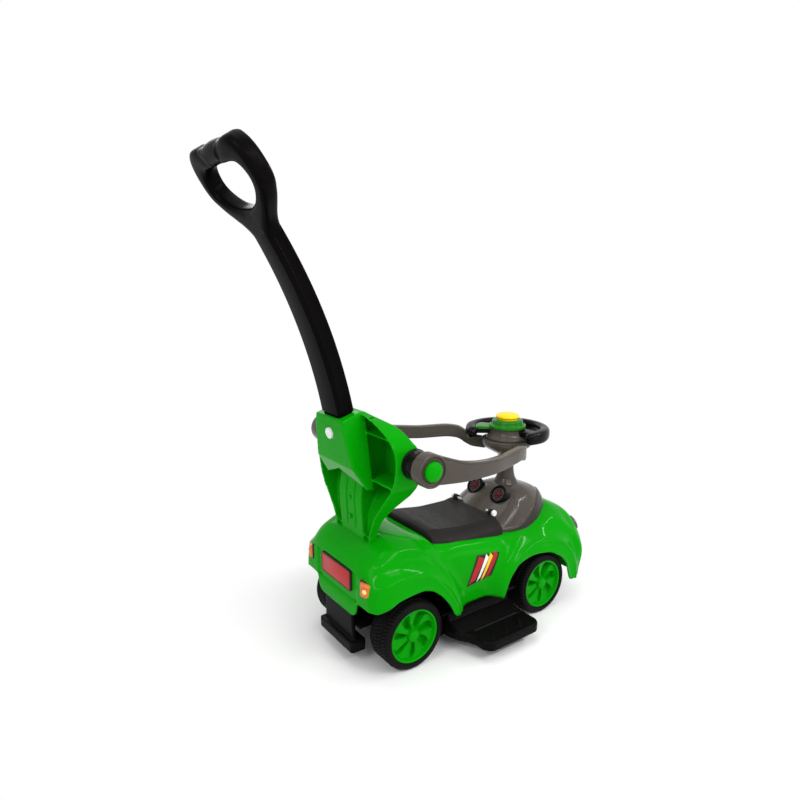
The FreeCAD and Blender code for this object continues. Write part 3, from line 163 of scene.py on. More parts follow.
def moulded(name, colour, darker, rough, grain=0.0, grain_scale=900, wave=0.15, ior=1.3):
    """Moulded plastic: slow colour drift, faint flow waves, fine grain and scuffs."""
    shader = Shader(name)
    drift = shader.span(shader.noise(9, 4), 0, 1)
    dust = shader.span(shader.noise(70, 6, 0.65), 0, 0.14, 0.5, 0.75)
    base = shader.mix(drift, colour, darker)
    pale = tuple(min(1, c * 1.2 + 0.002) for c in colour)
    shader.feed("Base Color", shader.mix(dust, base, pale))
    scuff = shader.noise(140, 8, 0.7, (1, 1, 2.2))
    shader.feed("Roughness", shader.span(scuff, rough * 0.85, rough * 1.35, 0.35, 0.75))
    shader.set(IOR=ior)
    shader.bump(shader.noise(26, 2), wave, 0.0006)
    if grain:
        shader.bump(shader.noise(grain_scale, 3, 0.6), grain, 0.0002)
    return shader.material


GREEN = moulded("green_plastic", (0.002, 0.292, 0.002), (0.0018, 0.266, 0.0018), 0.09, wave=0.05, ior=1.12)
PAD_GREEN = moulded("horn_pad_green", (0.012, 0.165, 0.006), (0.01, 0.14, 0.005), 0.12, wave=0.05, ior=1.2)
HANDLE = moulded("handle_gloss", (0.003, 0.0024, 0.0026), (0.0022, 0.0018, 0.002), 0.3, wave=0.05, ior=1.08)
BLACK = moulded("black_gloss", (0.0042, 0.0038, 0.0038), (0.003, 0.0028, 0.0028), 0.2, wave=0.08, ior=1.16)
FRAME = moulded("black_frame", (0.0042, 0.0039, 0.0039), (0.003, 0.0028, 0.0028), 0.3, grain=0.15, ior=1.11)
TYRE = moulded("tyre_black", (0.0065, 0.0065, 0.0065), (0.0042, 0.0042, 0.0042), 0.46,
               grain=0.3, grain_scale=1400, ior=1.13)
SEAT = moulded("seat_grain", (0.019, 0.0172, 0.0165), (0.016, 0.0147, 0.014), 0.4,
               grain=0.35, grain_scale=1500, ior=1.13)
GREY = moulded("metallic_grey", (0.070, 0.059, 0.049), (0.060, 0.050, 0.042), 0.16,
               grain=0.04, grain_scale=2600, ior=1.24)
DARK_GREY = moulded("console_rim_grey", (0.028, 0.024, 0.021), (0.023, 0.020, 0.018), 0.26,
                    grain=0.05, grain_scale=2600, ior=1.22)
SILVER = moulded("silver_trim", (0.10, 0.095, 0.09), (0.08, 0.075, 0.07), 0.3)
WHITE = moulded("white_plastic", (0.80, 0.80, 0.78), (0.74, 0.74, 0.72), 0.4)
YELLOW = moulded("yellow_plastic", (0.90, 0.62, 0.004), (0.86, 0.56, 0.004), 0.3)
RED = moulded("red_plastic", (0.44, 0.020, 0.022), (0.38, 0.016, 0.018), 0.35)
DIAL_RED = moulded("dial_red", (0.10, 0.008, 0.014), (0.075, 0.006, 0.010), 0.35)
LAMP_FRAME = moulded("lamp_frame", (0.030, 0.016, 0.010), (0.022, 0.012, 0.008), 0.35)
HOT = moulded("lamp_glow", (0.98, 0.72, 0.22), (0.96, 0.60, 0.12), 0.2)
CLEAR = moulded("silver_lens", (0.62, 0.64, 0.66), (0.5, 0.52, 0.54), 0.16, ior=1.5)
INK = moulded("sticker_black", (0.012, 0.010, 0.010), (0.010, 0.008, 0.008), 0.38)
RED_INK = moulded("sticker_red", (0.42, 0.012, 0.014), (0.34, 0.010, 0.012), 0.36)
WHITE_INK = moulded("sticker_white", (0.78, 0.77, 0.76), (0.72, 0.71, 0.70), 0.38)
YELLOW_INK = moulded("sticker_yellow", (0.82, 0.52, 0.02), (0.76, 0.44, 0.02), 0.36)


def amber_lens():
    """Amber lamp: drifting orange with fine lens ribs."""
    shader = Shader("amber_lens")
    flow = shader.span(shader.noise(60, 3), 0, 1)
    shader.feed("Base Color", shader.mix(flow, (0.62, 0.16, 0.02), (0.5, 0.09, 0.015)))
    shader.set(Roughness=0.18, IOR=1.5)
    ribs = shader.node("ShaderNodeTexWave", Scale=140.0, Distortion=0.4)
    shader.link(shader.coords.outputs["Object"], ribs.inputs["Vector"])
    shader.bump(ribs.outputs["Fac"], 0.3, 0.0006)
    return shader.material


def brushed_steel():
    shader = Shader("zinc_steel")
    streak = shader.noise(60, 6, 0.6, (1, 1, 14))
    shader.feed("Base Color", shader.mix(shader.span(streak, 0, 1), (0.52, 0.52, 0.5), (0.36, 0.36, 0.36)))
    shader.feed("Roughness", shader.span(streak, 0.24, 0.42))
    shader.set(Metallic=1.0)
    shader.bump(streak, 0.1, 0.0002)
    return shader.material


AMBER, STEEL = amber_lens(), brushed_steel()

SLOT_MATERIAL = {"body_green": GREEN, "tyre_black": TYRE, "seat_dark": SEAT, "console_grey": GREY,
                 "frame_black": FRAME, "handle_black": HANDLE, "steel": STEEL, "plate_red": RED,
                 "lamp_amber": AMBER, "lamp_clear": CLEAR, "horn_yellow": YELLOW, "pin_white": WHITE}


def dress_nodes():
    """Every CAD node takes the material of its slot, and the backrest's screws are then made green."""
    for part in frame["record"]["subparts"]:
        node = frame["nodes"][part["node"]]
        node.data.materials.clear()
        node.data.materials.append(SLOT_MATERIAL[part["material_slot"]])
    frame["nodes"]["backrest_screws"].data.materials[0] = GREEN


# Mesh helpers

def smooth(points, x):
    """Height at x of a smooth line through the points that never overshoots them."""
    steps = [(b[1] - a[1]) / (b[0] - a[0]) for a, b in zip(points, points[1:])]
    slopes = [steps[0]]
    for before, after in zip(steps, steps[1:]):
        slopes.append(0 if before * after <= 0 else 2 * before * after / (before + after))
    slopes.append(steps[-1])
    i = max(k for k in range(len(steps)) if k == 0 or points[k][0] <= x)
    (x0, y0), (x1, y1) = points[i], points[i + 1]
    width, rise = x1 - x0, y1 - y0
    t = min(max((x - x0) / width, 0), 1)
    bend = 3 * rise - width * (2 * slopes[i] + slopes[i + 1])
    twist = width * (slopes[i] + slopes[i + 1]) - 2 * rise
    return y0 + t * width * slopes[i] + t * t * bend + t ** 3 * twist


def step(low, high, value):
    """Rises smoothly from 0 to 1 between low and high."""
    t = min(max((value - low) / (high - low), 0), 1)
    return t * t * (3 - 2 * t)


def bump(distance, width):
    """A soft ridge: 1 at its line and 0 away from it."""
    return math.exp(-(distance / width) ** 2)


def squircle(angle, power):
    """How far a circle of radius 1, drawn out towards a square, reaches at an angle."""
    return (abs(math.cos(angle)) ** power + abs(math.sin(angle)) ** power) ** (-1 / power)


def part_way(a, b, t):
    """The spot a share t of the way from a to b."""
    return tuple(p + (q - p) * t for p, q in zip(a, b))


def mirrored(line):
    """The way back from a line's end in the middle, on the other side of the car."""
    return [(x, -y, z) for x, y, z in reversed(line[:-1])]


def spaced(points, count):
    """The same line of points, divided into equal lengths."""
    runs = [0.0]
    for a, b in zip(points, points[1:]):
        runs.append(runs[-1] + math.dist(a, b))
    out, k = [], 0
    for i in range(count):
        want = runs[-1] * i / (count - 1)
        while k < len(runs) - 2 and runs[k + 1] < want:
            k += 1
        t = (want - runs[k]) / max(runs[k + 1] - runs[k], 1e-9)
        out.append(part_way(points[k], points[k + 1], t))
    return out


class Form:
    """Points in millimetres and faces, from which a piece is made."""

    def __init__(self):
        self.points, self.faces = [], []

    def grid(self, rows, wrap=False):
        """Faces between rows of points; wrap joins the ends of each row."""
        start, width = len(self.points), len(rows[0])
        for row in rows:
            self.points += row
        for i in range(len(rows) - 1):
            for j in range(width if wrap else width - 1):
                a, b = start + i * width + j, start + i * width + (j + 1) % width
                self.faces.append((a, b, b + width, a + width))

    def cap(self, ring):
        """One face over a closed ring."""
        start = len(self.points)
        self.points += ring
        self.faces.append(tuple(range(start, start + len(ring))))

    def tube(self, rings):
        """A closed skin over rings of points, with both ends covered."""
        self.grid(rings, wrap=True)
        self.cap(rings[0])
        self.cap(rings[-1])

    def turn(self, centre, axis, profile, count=64):
        """A form turned about an axis through centre, from pairs of radius and height."""
        axis, centre = Vector(axis).normalized(), Vector(centre)
        side = axis.cross(Vector(UP))
        side = side.normalized() if side.length > 0.1 else Vector((1, 0, 0))
        other = axis.cross(side)
        angles = [math.tau * i / count for i in range(count)]
        spokes = [side * math.cos(a) + other * math.sin(a) for a in angles]
        self.grid([[tuple(centre + axis * height + spoke * radius) for spoke in spokes]
                   for radius, height in profile], wrap=True)

    def plain(self, name, weld=0.02):
        """The form as a welded object."""
        data = bpy.data.meshes.new(name)
        data.from_pydata([spot(*p) for p in self.points], [], self.faces)
        work = bmesh.new()
        work.from_mesh(data)
        bmesh.ops.remove_doubles(work, verts=work.verts, dist=weld / MM)
        bmesh.ops.recalc_face_normals(work, faces=work.faces)
        work.to_mesh(data)
        work.free()
        return linked(name, data)

    def piece(self, name, material, body, slot, nodes=(), weld=0.02, sharp=35):
        """The form as a piece that rides a body and may stand for CAD nodes."""
        made = self.plain(name, weld)
        data = made.data
        data.polygons.foreach_set("use_smooth", [True] * len(data.polygons))
        data.set_sharp_from_angle(angle=math.radians(sharp))
        data.materials.append(material)
        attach(made, body)
        if nodes:
            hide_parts(*nodes)
        return made


def turned(name, material, body, slot, nodes, centre, axis, profile, count, sharp=40):
    """A piece that is one form turned about an axis."""
    form = Form()
    form.turn(centre, axis, profile, count)
    form.piece(name, material, body, slot, nodes, sharp=sharp)


def eased(points, radius, steps=4, closed=False):
    """The same line with its corners rounded."""
    out = []
    for i, point in enumerate(points):
        if not closed and i in (0, len(points) - 1):
            out.append(tuple(point))
            continue
        corner, before, after = (Vector(points[k % len(points)]) for k in (i, i - 1, i + 1))
        first = corner + (before - corner).normalized() * min(radius, 0.48 * (before - corner).length)
        last = corner + (after - corner).normalized() * min(radius, 0.48 * (after - corner).length)
        for k in range(steps + 1):
            t = k / steps
            out.append(tuple(first * (1 - t) ** 2 + corner * (2 * t * (1 - t)) + last * t * t))
    return out


def rounded(half_a, half_b, radius, steps=4):
    """A rectangle about the middle, with rounded corners."""
    corners = [(half_a, -half_b), (half_a, half_b), (-half_a, half_b), (-half_a, -half_b)]
    return eased(corners, radius, steps, True)


def thicken(piece, thick, edge):
    """Gives a surface its wall inwards, and rounds the wall's rim."""
    wall = piece.modifiers.new("wall", "SOLIDIFY")
    wall.thickness, wall.offset, wall.use_even_offset = thick / MM, -1, False
    rim = piece.modifiers.new("rim", "BEVEL")
    rim.width, rim.segments = edge / MM, 2
    rim.limit_method, rim.angle_limit = "ANGLE", math.radians(60)


# Body shell

TAIL, NOSE, BASE = -86.0, 472.0, 40.0
BODY_HALF = [(TAIL, 85), (TAIL + 9, 100), (TAIL + 34, 109), (0, 108), (165, 112), (330, 112),
             (NOSE - 52, 112), (NOSE - 30, 118), (NOSE - 12, 116), (NOSE, 96)]
BODY_TOP = [(TAIL, 188), (TAIL + 8, 206), (TAIL + 38, 228), (-20, 238), (24, 230), (48, 221.5),
            (63, 215.5), (66.5, 213), (70, 208), (120, 202), (165, 195), (256, 186), (290, 187),
            (NOSE - 72, 207), (NOSE - 30, 194), (NOSE - 10, 173), (NOSE, 149)]
BODY_SQUARE = [(TAIL, 6), (40, 6), (110, 9), (165, 9), (256, 7), (330, 5), (NOSE, 3.6)]
LOWER_EDGE = [(TAIL - 20, 131), (-80, 132), (-62, 138), (-34, 148), (10, 151), (30, 146), (52, 130),
              (71, 107), (91, 78), (206, 78), (225, 113), (252, 136), (288, 142), (330, 137),
              (366, 121.7), (389, 98), (398.5, 68),
              (408, 54), (NOSE + 1, 54)]
REAR_ARCH = [(0, 92), (31, 83), (52, 84), (74, 88.6), (90, 87), (112, 91.5), (125, 102.6), (137, 119),
             (180, 150)]
REAR_CREST = [(0, 112), (31, 114), (57, 127), (75, 146), (90, 158), (105, 168), (120, 176), (180, 186)]
FRONT_ARCH = [(0, 68), (30, 68), (58, 68), (90, 73), (118, 88.6), (137, 106), (155, 116), (180, 126)]
FRONT_CREST = [(0, 136), (34, 130), (60, 136), (83, 133), (110, 124), (137, 128), (156, 128), (180, 130)]
FENDERS = ((0.0, 13.0, 12.0, REAR_ARCH, REAR_CREST), (WHEELBASE, 12.0, 11.0, FRONT_ARCH, FRONT_CREST))


def fender(x, z):
    """How far the fenders stand out: a lower bulge, a shelf, and an upper crease."""
    out = 0
    for axle_x, bulge, shelf, arch, crest in FENDERS:
        radius = math.hypot(x - axle_x, z - WHEEL_R)
        angle = min(max(math.degrees(math.atan2(z - WHEEL_R, x - axle_x)), 0), 180)
        if angle == 0 and x < axle_x:
            angle = 180
        inner, outer = smooth(arch, angle), smooth(crest, angle)
        low = inner + 0.42 * (outer - inner)
        out += (bulge * (1 - step(low - 6, low + 22, radius))
                + shelf * (1 - step(outer - 8, outer + 26, radius)))
        out += (2.6 * bump(radius - low, 3.6) + 2.4 * bump(radius - outer, 4.4)
                + 1.8 * (1 - step(inner + 2, inner + 5, radius)))
    return out


def body_section(x, count=97):
    """The shell's outline across X, from its right lower edge over the top to the left one."""
    half, top, power = smooth(BODY_HALF, x), smooth(BODY_TOP, x), smooth(BODY_SQUARE, x)
    floor = smooth(LOWER_EDGE, x)
    right = []
    samples = 220
    for i in range(samples + 1):
        angle = math.pi / 2 * i / samples
        reach = squircle(angle, power)
        z = BASE + (top - BASE) * reach * math.sin(angle)
        right.append((x, -(half + fender(x, z)) * reach * math.cos(angle), z))
    k = next(i for i, p in enumerate(right) if p[2] >= floor)
    if k:
        a, b = right[k - 1], right[k]
        t = (floor - a[2]) / (b[2] - a[2])
        right = [part_way(a, b, t)] + right[k:]
    right = spaced(right, (count + 1) // 2)
    right[-1] = (x, 0.0, right[-1][2])
    return right + mirrored(right)


def end_panel(section, across, shape, tongue=()):
    """Closes an end of the shell with rows between its two sides, and a tongue below."""
    count = len(section)
    rows = []
    for half, z in reversed(tongue):
        rows.append([(section[0][0], -half + 2 * half * j / across, z) for j in range(across + 1)])
    for i in range(count // 2 + 1):
        a, b = section[i], section[count - 1 - i]
        rows.append([tuple(p + (q - p) * j / across for p, q in zip(a, b)) for j in range(across + 1)])
    return [[(x + shape(y, z), y, z) for x, y, z in row] for row in rows]


def rear_relief(y, z):
    """The rear panel's shallow recess round the plate, with a ledge below it."""
    inside = (1 - step(66, 71, abs(y))) * step(126, 131, z) * (1 - step(187, 193, z))
    ledge = bump(z - 118, 3) * (1 - step(50, 58, abs(y)))
    return 3.2 * inside - 1.6 * ledge


def chin(z):
    """How far the nose leans back below its lamps."""
    return 24 * (1 - step(54, 135, z))


def make_body():
    stations = [TAIL + s for s in (0, 0.8, 2, 3.6, 5.6, 8, 11, 14.5, 18.5)]
    while stations[-1] < NOSE - 26:
        stations.append(stations[-1] + 4)
    stations += [NOSE - s for s in (21, 17, 13.5, 10.5, 8, 5.8, 4, 2.5, 1.2, 0)]
    sections = [[(x - chin(z) * step(NOSE - 60, NOSE, x), y, z) for x, y, z in body_section(station)]
                for station in stations]
    form = Form()
    form.grid(sections)
    tongue = [(84, 131), (77, 130.4), (72, 129), (69.5, 124), (67.5, 114), (64, 106.5),
              (58, 102), (50, 100)]
    form.grid(end_panel(sections[0], 60, rear_relief, tongue))
    nose = end_panel(sections[-1], 40, lambda y, z: 0)
    form.grid(nose[:-3])
    form.cap(nose[-4] + sections[-1][50:45:-1])
    body = form.piece("body_form", GREEN, "car", "body_green", ("body_shell",), weld=0.05, sharp=50)
    thicken(body, 3, 0.9)
    settle(body)
    well = Form()
    well.tube([[(154 + a, b, z) for a, b in rounded(68.3, 64.3, 3, 3)] for z in (120, 280)])
    bore = Form()
    bore.turn((STEER, 0, 0), UP, [(0.05, 120), (9.5, 120), (9.5, 300), (0.05, 300)], 32)
    carve(body, [well, bore])


def settle(piece):
    """Makes a piece's modifiers part of its mesh."""
    graph = bpy.context.evaluated_depsgraph_get()
    data = bpy.data.meshes.new_from_object(piece.evaluated_get(graph))
    piece.modifiers.clear()
    piece.data = data


def carve(piece, forms):
    """Cuts forms out of a piece."""
    tools = []
    for form in forms:
        tool = form.plain("tool")
        tools.append(tool)
        cut = piece.modifiers.new("cut", "BOOLEAN")
        cut.operation, cut.solver, cut.object = "DIFFERENCE", "EXACT", tool
    settle(piece)
    for tool in tools:
        bpy.data.objects.remove(tool)


# Wheels

TREAD_BLOCKS, SPOKES = 60, 7
TYRE_INNER, TYRE_WIDE = 72.0, 56


def wheel_row(axle_x, sign, angles, radius_at, across_at):
    """A ring of points round a wheel's axle."""
    row = []
    for angle in angles:
        radius, across = radius_at(angle), across_at(angle)
        row.append((axle_x + radius * math.cos(angle), sign * (TYRE_INNER + across),
                    WHEEL_R + radius * math.sin(angle)))
    return row


def tread_depth(angle, across):
    """1 in a groove of the tread and 0 on a block."""
    off = across - TYRE_WIDE / 2
    ring = max(1 - step(0.7, 1.3, abs(off)), 1 - step(0.9, 1.5, abs(abs(off) - 11.5)))
    slant = 0.055 * abs(off) if abs(off) > 12 else 0.11 * off
    phase = (angle / math.tau * TREAD_BLOCKS + slant + (0.5 if off > 0 else 0)) % 1
    width = 0.3 if abs(off) > 12 else 0.2
    cross = 1 - step(width / 2 - 0.07, width / 2 + 0.07, abs(phase - 0.5))
    return max(ring, cross)


def make_tyre(name, axle_x, sign, body, node):
    angles = [math.tau * i / 480 for i in range(480)]
    profile = [(1.2, 50.4, 0), (0.5, 51.5, 0), (0.2, 53, 0), (0.5, 55, 0), (0.5, 56, 0), (1.1, 56.6, 0),
               (1.3, 58, 0), (1.8, 59.5, 0), (2.4, 60.6, 0.4), (3.6, 62, 0.8), (5.2, 63.1, 1), (7.2, 63.8, 1)]
    middle = [(8 + 40 * i / 32, 64, 1) for i in range(33)]
    rows = profile + middle + [(TYRE_WIDE - a, r, g) for a, r, g in reversed(profile)]
    form = Form()
    made = []
    for across, radius, groove in rows:
        made.append(wheel_row(axle_x, sign, angles,
                              lambda a: radius - 2.3 * groove * tread_depth(a, across), lambda a: across))
    made.append(made[0])
    form.grid(made, wrap=True)
    form.piece(name, TYRE, body, "tyre_black", (node,), sharp=48)


def blade_face(radius, angle, sign):
    """How far out a rim's face is: wide skewed blades with deep pockets between them."""
    phase = (sign * angle / math.tau * SPOKES + 0.14 * (44 - radius) / 30) % 1
    width = smooth([(12, 0.8), (20, 0.62), (32, 0.6), (44, 0.72)], radius)
    edge = 0.055 * 30 / max(radius, 14)
    mask = step(0, edge, phase) * (1 - step(width - edge, width, phase))
    across = min(phase / width, 1)
    blade = (45.4 + 1.6 * ((radius - 28) / 16) ** 2 + 3.4 * (0.5 - across)
             + 1.2 * step(0.86, 0.95, 1 - abs(across - 0.12)))
    pocket = 36.5 + 0.004 * (radius - 28) ** 2
    mask = max(mask, step(42.2, 44.4, radius), 1 - step(13.5, 15.5, radius))
    merge = step(42.2, 44.6, radius)
    return pocket + (blade * (1 - merge) + 47.2 * merge - pocket) * mask


def make_rim(name, axle_x, sign, body, node):
    count = 308
    angles = [math.tau * i / count for i in range(count)]
    form = Form()
    rows = []
    lip = [(50, 0.6), (50, 52.6), (49.7, 53.5), (49, 54), (47.4, 54), (46.6, 53.6), (46.1, 52.6),
           (45.6, 50), (45, 47.8)]
    inside = [(5.2, 20), (12, 20), (12, 32), (45.2, 32), (46, 31), (46, 1.2), (46.6, 0.2), (49.4, 0)]
    for radius, across in inside + lip:
        rows.append(wheel_row(axle_x, sign, angles, lambda a: radius, lambda a: across))
    steps = 36
    for i in range(steps + 1):
        radius = 44.6 - (44.6 - 12.8) * i / steps
        rows.append(wheel_row(axle_x, sign, angles, lambda a: radius, lambda a: blade_face(radius, a, sign)))
    for radius, across in [(12.3, 47.6), (12, 49.4), (11.6, 50), (5.2, 50), (5.2, 20)]:
        rows.append(wheel_row(axle_x, sign, angles, lambda a: radius, lambda a: across))
    form.grid(rows, wrap=True)
    form.piece(name, GREEN, body, "body_green", (node,), sharp=40)


def make_hub_cap(name, axle_x, sign, body, node):
    angles = [math.tau * i / 64 for i in range(64)]
    profile = [(0.05, 50.3), (10.6, 50.3), (11, 50.8), (11, 51.6), (10.5, 52.3), (8.8, 52.5), (8.3, 52.2),
               (7.8, 52.5), (7.2, 53.2), (5.5, 53.7), (3, 53.95), (0.05, 54)]
    rows = [wheel_row(axle_x, sign, angles, lambda a: radius, lambda a: across) for radius, across in profile]
    form = Form()
    form.grid(rows, wrap=True)
    form.piece(name, GREEN, body, "body_green", (node,), sharp=40)


def make_wheels():
    for end, axle_x in (("rear", 0.0), ("front", WHEELBASE)):
        for side, sign in SIDES:
            body = f"{end}_wheel_{side}"
            make_tyre(f"tyre_{end}_{side}", axle_x, sign, body, f"{end}_tyre_{side}")
            make_rim(f"rim_{end}_{side}", axle_x, sign, body, f"{end}_rim_{side}")
            make_hub_cap(f"cap_{end}_{side}", axle_x, sign, body, f"{end}_hub_cap_{side}")


# Seat

SEAT_START, SEAT_END, HINGE = 70.0, 243.0, (246.0, 217.0)
SEAT_HALF = [(SEAT_START, 82), (SEAT_START + 40, 91), (SEAT_END, 91)]
SEAT_TOP = [(70, 209), (70.8, 215), (73, 219.4), (77, 221.8), (84, 222.6), (110, 219), (165, 212), (223, 211),
            (SEAT_END, 214)]
SEAT_FALL = [(0, 0), (0.7, 0), (0.735, 0.5), (0.76, 1.6), (0.86, 7), (0.94, 12.5), (0.985, 17), (1, 26)]


def deck(x, y):
    """Height of the body's outside at a place."""
    half, top, power = smooth(BODY_HALF, x), smooth(BODY_TOP, x), smooth(BODY_SQUARE, x)
    share = min(abs(y) / (half + fender(x, top - 12)), 1)
    return BASE + (top - BASE) * (1 - share ** power) ** (1 / power)


def seat_height(x, share):
    """The seat's top: a flat middle, a crease, and skirts that slope down to the body."""
    crown = smooth(SEAT_TOP, x)
    start = 1 if x > SEAT_START + 14 else step(SEAT_START - 2, SEAT_START + 14, x)
    fall = smooth(SEAT_FALL, abs(share)) * start
    groove = 1.1 * math.exp(-((abs(share) - 0.735) / 0.012) ** 2) * step(96, 118, x) * step(240, 226, x)
    return max(crown - fall - groove, deck(x, share * smooth(SEAT_HALF, x)) + 0.5)


def make_seat():
    stations = [70, 70.4, 71, 72, 73.5, 75.5, 78, 81, 85]
    while stations[-1] < SEAT_END - 4:
        stations.append(stations[-1] + 3)
    stations += [SEAT_END - 1.2, SEAT_END]
    shares = [-1 + 2 * i / 120 for i in range(121)]
    form = Form()
    tops, lows = [], []
    for x in stations:
        half = smooth(SEAT_HALF, x)
        dip = 1.2 * step(SEAT_END - 1.4, SEAT_END, x)
        tops.append([(x, s * half, seat_height(x, s) - dip) for s in shares])
        lows.append([(x, s * half, min(deck(x, s * half), 202) + 0.4) for s in shares])
    form.grid(tops)
    form.grid(lows)
    for rows in (0, -1):
        form.grid([tops[rows], lows[rows]])
    for side in (0, -1):
        form.grid([[row[side] for row in tops], [row[side] for row in lows]])
    for sign in (1, -1):
        lug = [(2.4, 0), (5.2, 0), (6.2, 1), (6.2, 9), (5.2, 10), (2.4, 10)]
        form.turn((HINGE[0], sign * 49, HINGE[1]), (0, sign, 0), lug, 40)
        web = eased([(SEAT_END - 16, 206), (SEAT_END - 16, 212), (246, 214), (246, 210),
                     (SEAT_END - 2, 207)], 1, 2, True)
        form.tube([[(x, sign * y, z) for x, z in web] for y in (49.4, 58.6)])
    form.piece("seat_form", SEAT, "seat", "seat_dark", ("seat_lid",), sharp=38)
    pins = Form()
    for sign in (1, -1):
        head = [(0.05, 0), (5.6, 0), (6.5, 0.9), (6.5, 3.8), (5.9, 4.7), (4.6, 5), (4.2, 4.6), (3.6, 4.6),
                (3.2, 5), (0.05, 5)]
        pins.turn((HINGE[0], sign * 59.6, HINGE[1]), (0, sign, 0), head, 40)
        shank = [(0.05, 0), (2, 0), (2.3, 0.4), (2.3, 21)]
        pins.turn((HINGE[0], sign * 39, HINGE[1]), (0, sign, 0), shank, 24)
    pins.piece("hinge_plugs", WHITE, "car", "pin_white", ("seat_hinge_pins",), sharp=40)


# Console with its dials

CONSOLE_START, CONSOLE_END = 243.6, 434.0
CONSOLE_HALF = [(CONSOLE_START, 93), (289.6, 98), (338, 94), (385, 76), (415, 49), (CONSOLE_END, 12)]
CONSOLE_TOP = [(CONSOLE_START, 214), (262.6, 226), (285.6, 240), (310.6, 250), (344, 252), (385, 243),
               (415, 228), (CONSOLE_END, 206)]
CONSOLE_RIM = [(CONSOLE_START, 1.5), (276, 3), (300, 9), (330, 17), (370, 22), (410, 22), (CONSOLE_END, 12)]
CONSOLE_BASE = 138.0


def console_line(x):
    """The right half of the console's outline across X, from the body up to the middle."""
    half, top, power = smooth(CONSOLE_HALF, x), smooth(CONSOLE_TOP, x), 2.7
    line = []
    for i in range(241):
        angle = math.pi / 2 * i / 240
        reach = squircle(angle, power)
        y, z = half * reach * math.cos(angle), CONSOLE_BASE + (top - CONSOLE_BASE) * reach * math.sin(angle)
        over, rim = z - deck(x, y), smooth(CONSOLE_RIM, x)
        inset = (3.2 * step(rim - 0.4, rim + 2.4, over) * (1 - step(rim + 14, rim + 60, over))
                 - 1.1 * bump(over - rim + 1, 1.8))
        line.append((x, -(y - inset * math.cos(angle)), z - 0.5 * inset * math.sin(angle)))
    k = next((i for i, p in enumerate(line) if p[2] >= deck(x, p[1]) - 0.6), len(line) - 9)
    line = line[min(k, len(line) - 9):]
    return line[:-1] + [(x, 0.0, line[-1][2])]


def console_bands(x):
    """The outline's low rim, and the hump above it, as rows of points across X."""
    line, rim = console_line(x), smooth(CONSOLE_RIM, x)
    k = next((i for i, p in enumerate(line) if p[2] - deck(x, p[1]) >= rim + 0.2), len(line) - 6)
    k = min(max(k, 2), len(line) - 6)
    low, high = spaced(line[:k + 1], 13), spaced(line[k:], 41)
    return low, high + mirrored(high)


def console_side(x, low, sign):
    """A spot on the console's side, a height above the body."""
    near = min(console_line(x), key=lambda p: abs(p[2] - deck(x, p[1]) - low))
    return Vector((near[0], -sign * near[1], near[2]))


def bead(form, line, radius, flat=0.6):
    """A low rounded ridge along a line of points."""
    rings = []
    for i, p in enumerate(line):
        along = (line[min(i + 1, len(line) - 1)] - line[max(i - 1, 0)]).normalized()
        side = along.cross(Vector((1, 0, 0) if abs(along.z) > 0.9 else UP)).normalized()
        up = side.cross(along)
        size = radius * min(1, 0.15 + i / 3, 0.15 + (len(line) - 1 - i) / 3)
        rings.append([tuple(p + side * (size * math.cos(a)) + up * (size * flat * math.sin(a)))
                      for a in (math.tau * k / 10 for k in range(10))])
    form.tube(rings)


def make_console():
    form = Form()
    stations = [CONSOLE_START + s for s in (0, 0.5, 1.4)]
    while stations[-1] < CONSOLE_END - 6:
        stations.append(stations[-1] + 3)
    stations += [CONSOLE_END - s for s in (4, 2, 0.8, 0)]
    bands = [console_bands(x) for x in stations]
    form.grid([high for low, high in bands])
    for low, high in (bands[0], bands[-1]):
        form.cap(low[:-1] + high + mirrored(low))
    for sign in (1, -1):
        bead(form, [console_side(250 + 3 * i, 5 + 2.2 * i, sign) for i in range(24)], 1.5)
        bead(form, [console_side(262 + 3 * i, 5 + 1.9 * i, sign) for i in range(20)], 1.2)
    rim = Form()
    for sign in (1, -1):
        rim.grid([[(x, -sign * y, z) for x, y, z in low] for low, high in bands])
    rim.piece("console_rim", DARK_GREY, "car", "console_grey", sharp=42)
    form.piece("console_form", GREY, "car", "console_grey", ("console",), sharp=42)
    for side, sign in SIDES:
        make_dial(side, sign)


def make_dial(side, sign):
    tilt = math.radians(52)
    out = Vector((-math.sin(tilt), 0, math.cos(tilt)))
    face = Vector((280.2, sign * 36, 244))
    pod = [(0.05, -32), (16.5, -32), (19, -30), (19, -5), (19.8, -4.4), (20, -3.6), (19.8, -1.2), (19, 0),
           (17.8, 0.3), (16.6, 0), (16, -0.8), (15.6, -2.6), (13.4, -2.7), (13.2, -2.2), (12.2, -2.2),
           (12, -2.9), (0.05, -2.9)]
    turned(f"dial_pod_{side}", BLACK, "car", "frame_black", (f"dial_{side}",), face, out, pod, 72)
    marks = Form()
    up = Vector((math.cos(tilt), 0, math.sin(tilt)))
    for i in range(8):
        angle = math.tau * (i + 0.5) / 8
        away = up * math.cos(angle) + Vector((0, 1, 0)) * math.sin(angle)
        across = out.cross(away)
        outline = eased([(5, -1.5), (10.4, -2.9), (11.2, 0), (10.4, 2.9), (5, 1.5)], 1, 3, True)
        marks.tube([[tuple(face + out * h + away * (r * k) + across * (a * k)) for r, a in outline]
                    for h, k in ((-3.1, 1), (-2.3, 1), (-2.0, 0.95))])
    marks.turn(face, out, [(0.05, -3), (3.6, -3), (3.6, -1.8), (3, -1.2), (1.6, -0.9), (0.05, -0.8)], 32)
    marks.piece(f"dial_marks_{side}", DIAL_RED, "car", "plate_red")
    ring = [(12.1, -2.6), (12.2, -1.9), (13, -1.7), (13.4, -2), (13.5, -2.6)]
    turned(f"dial_ring_{side}", SILVER, "car", "console_grey", (), face, out, ring, 72, 35)


# Steering column, wheel and horn

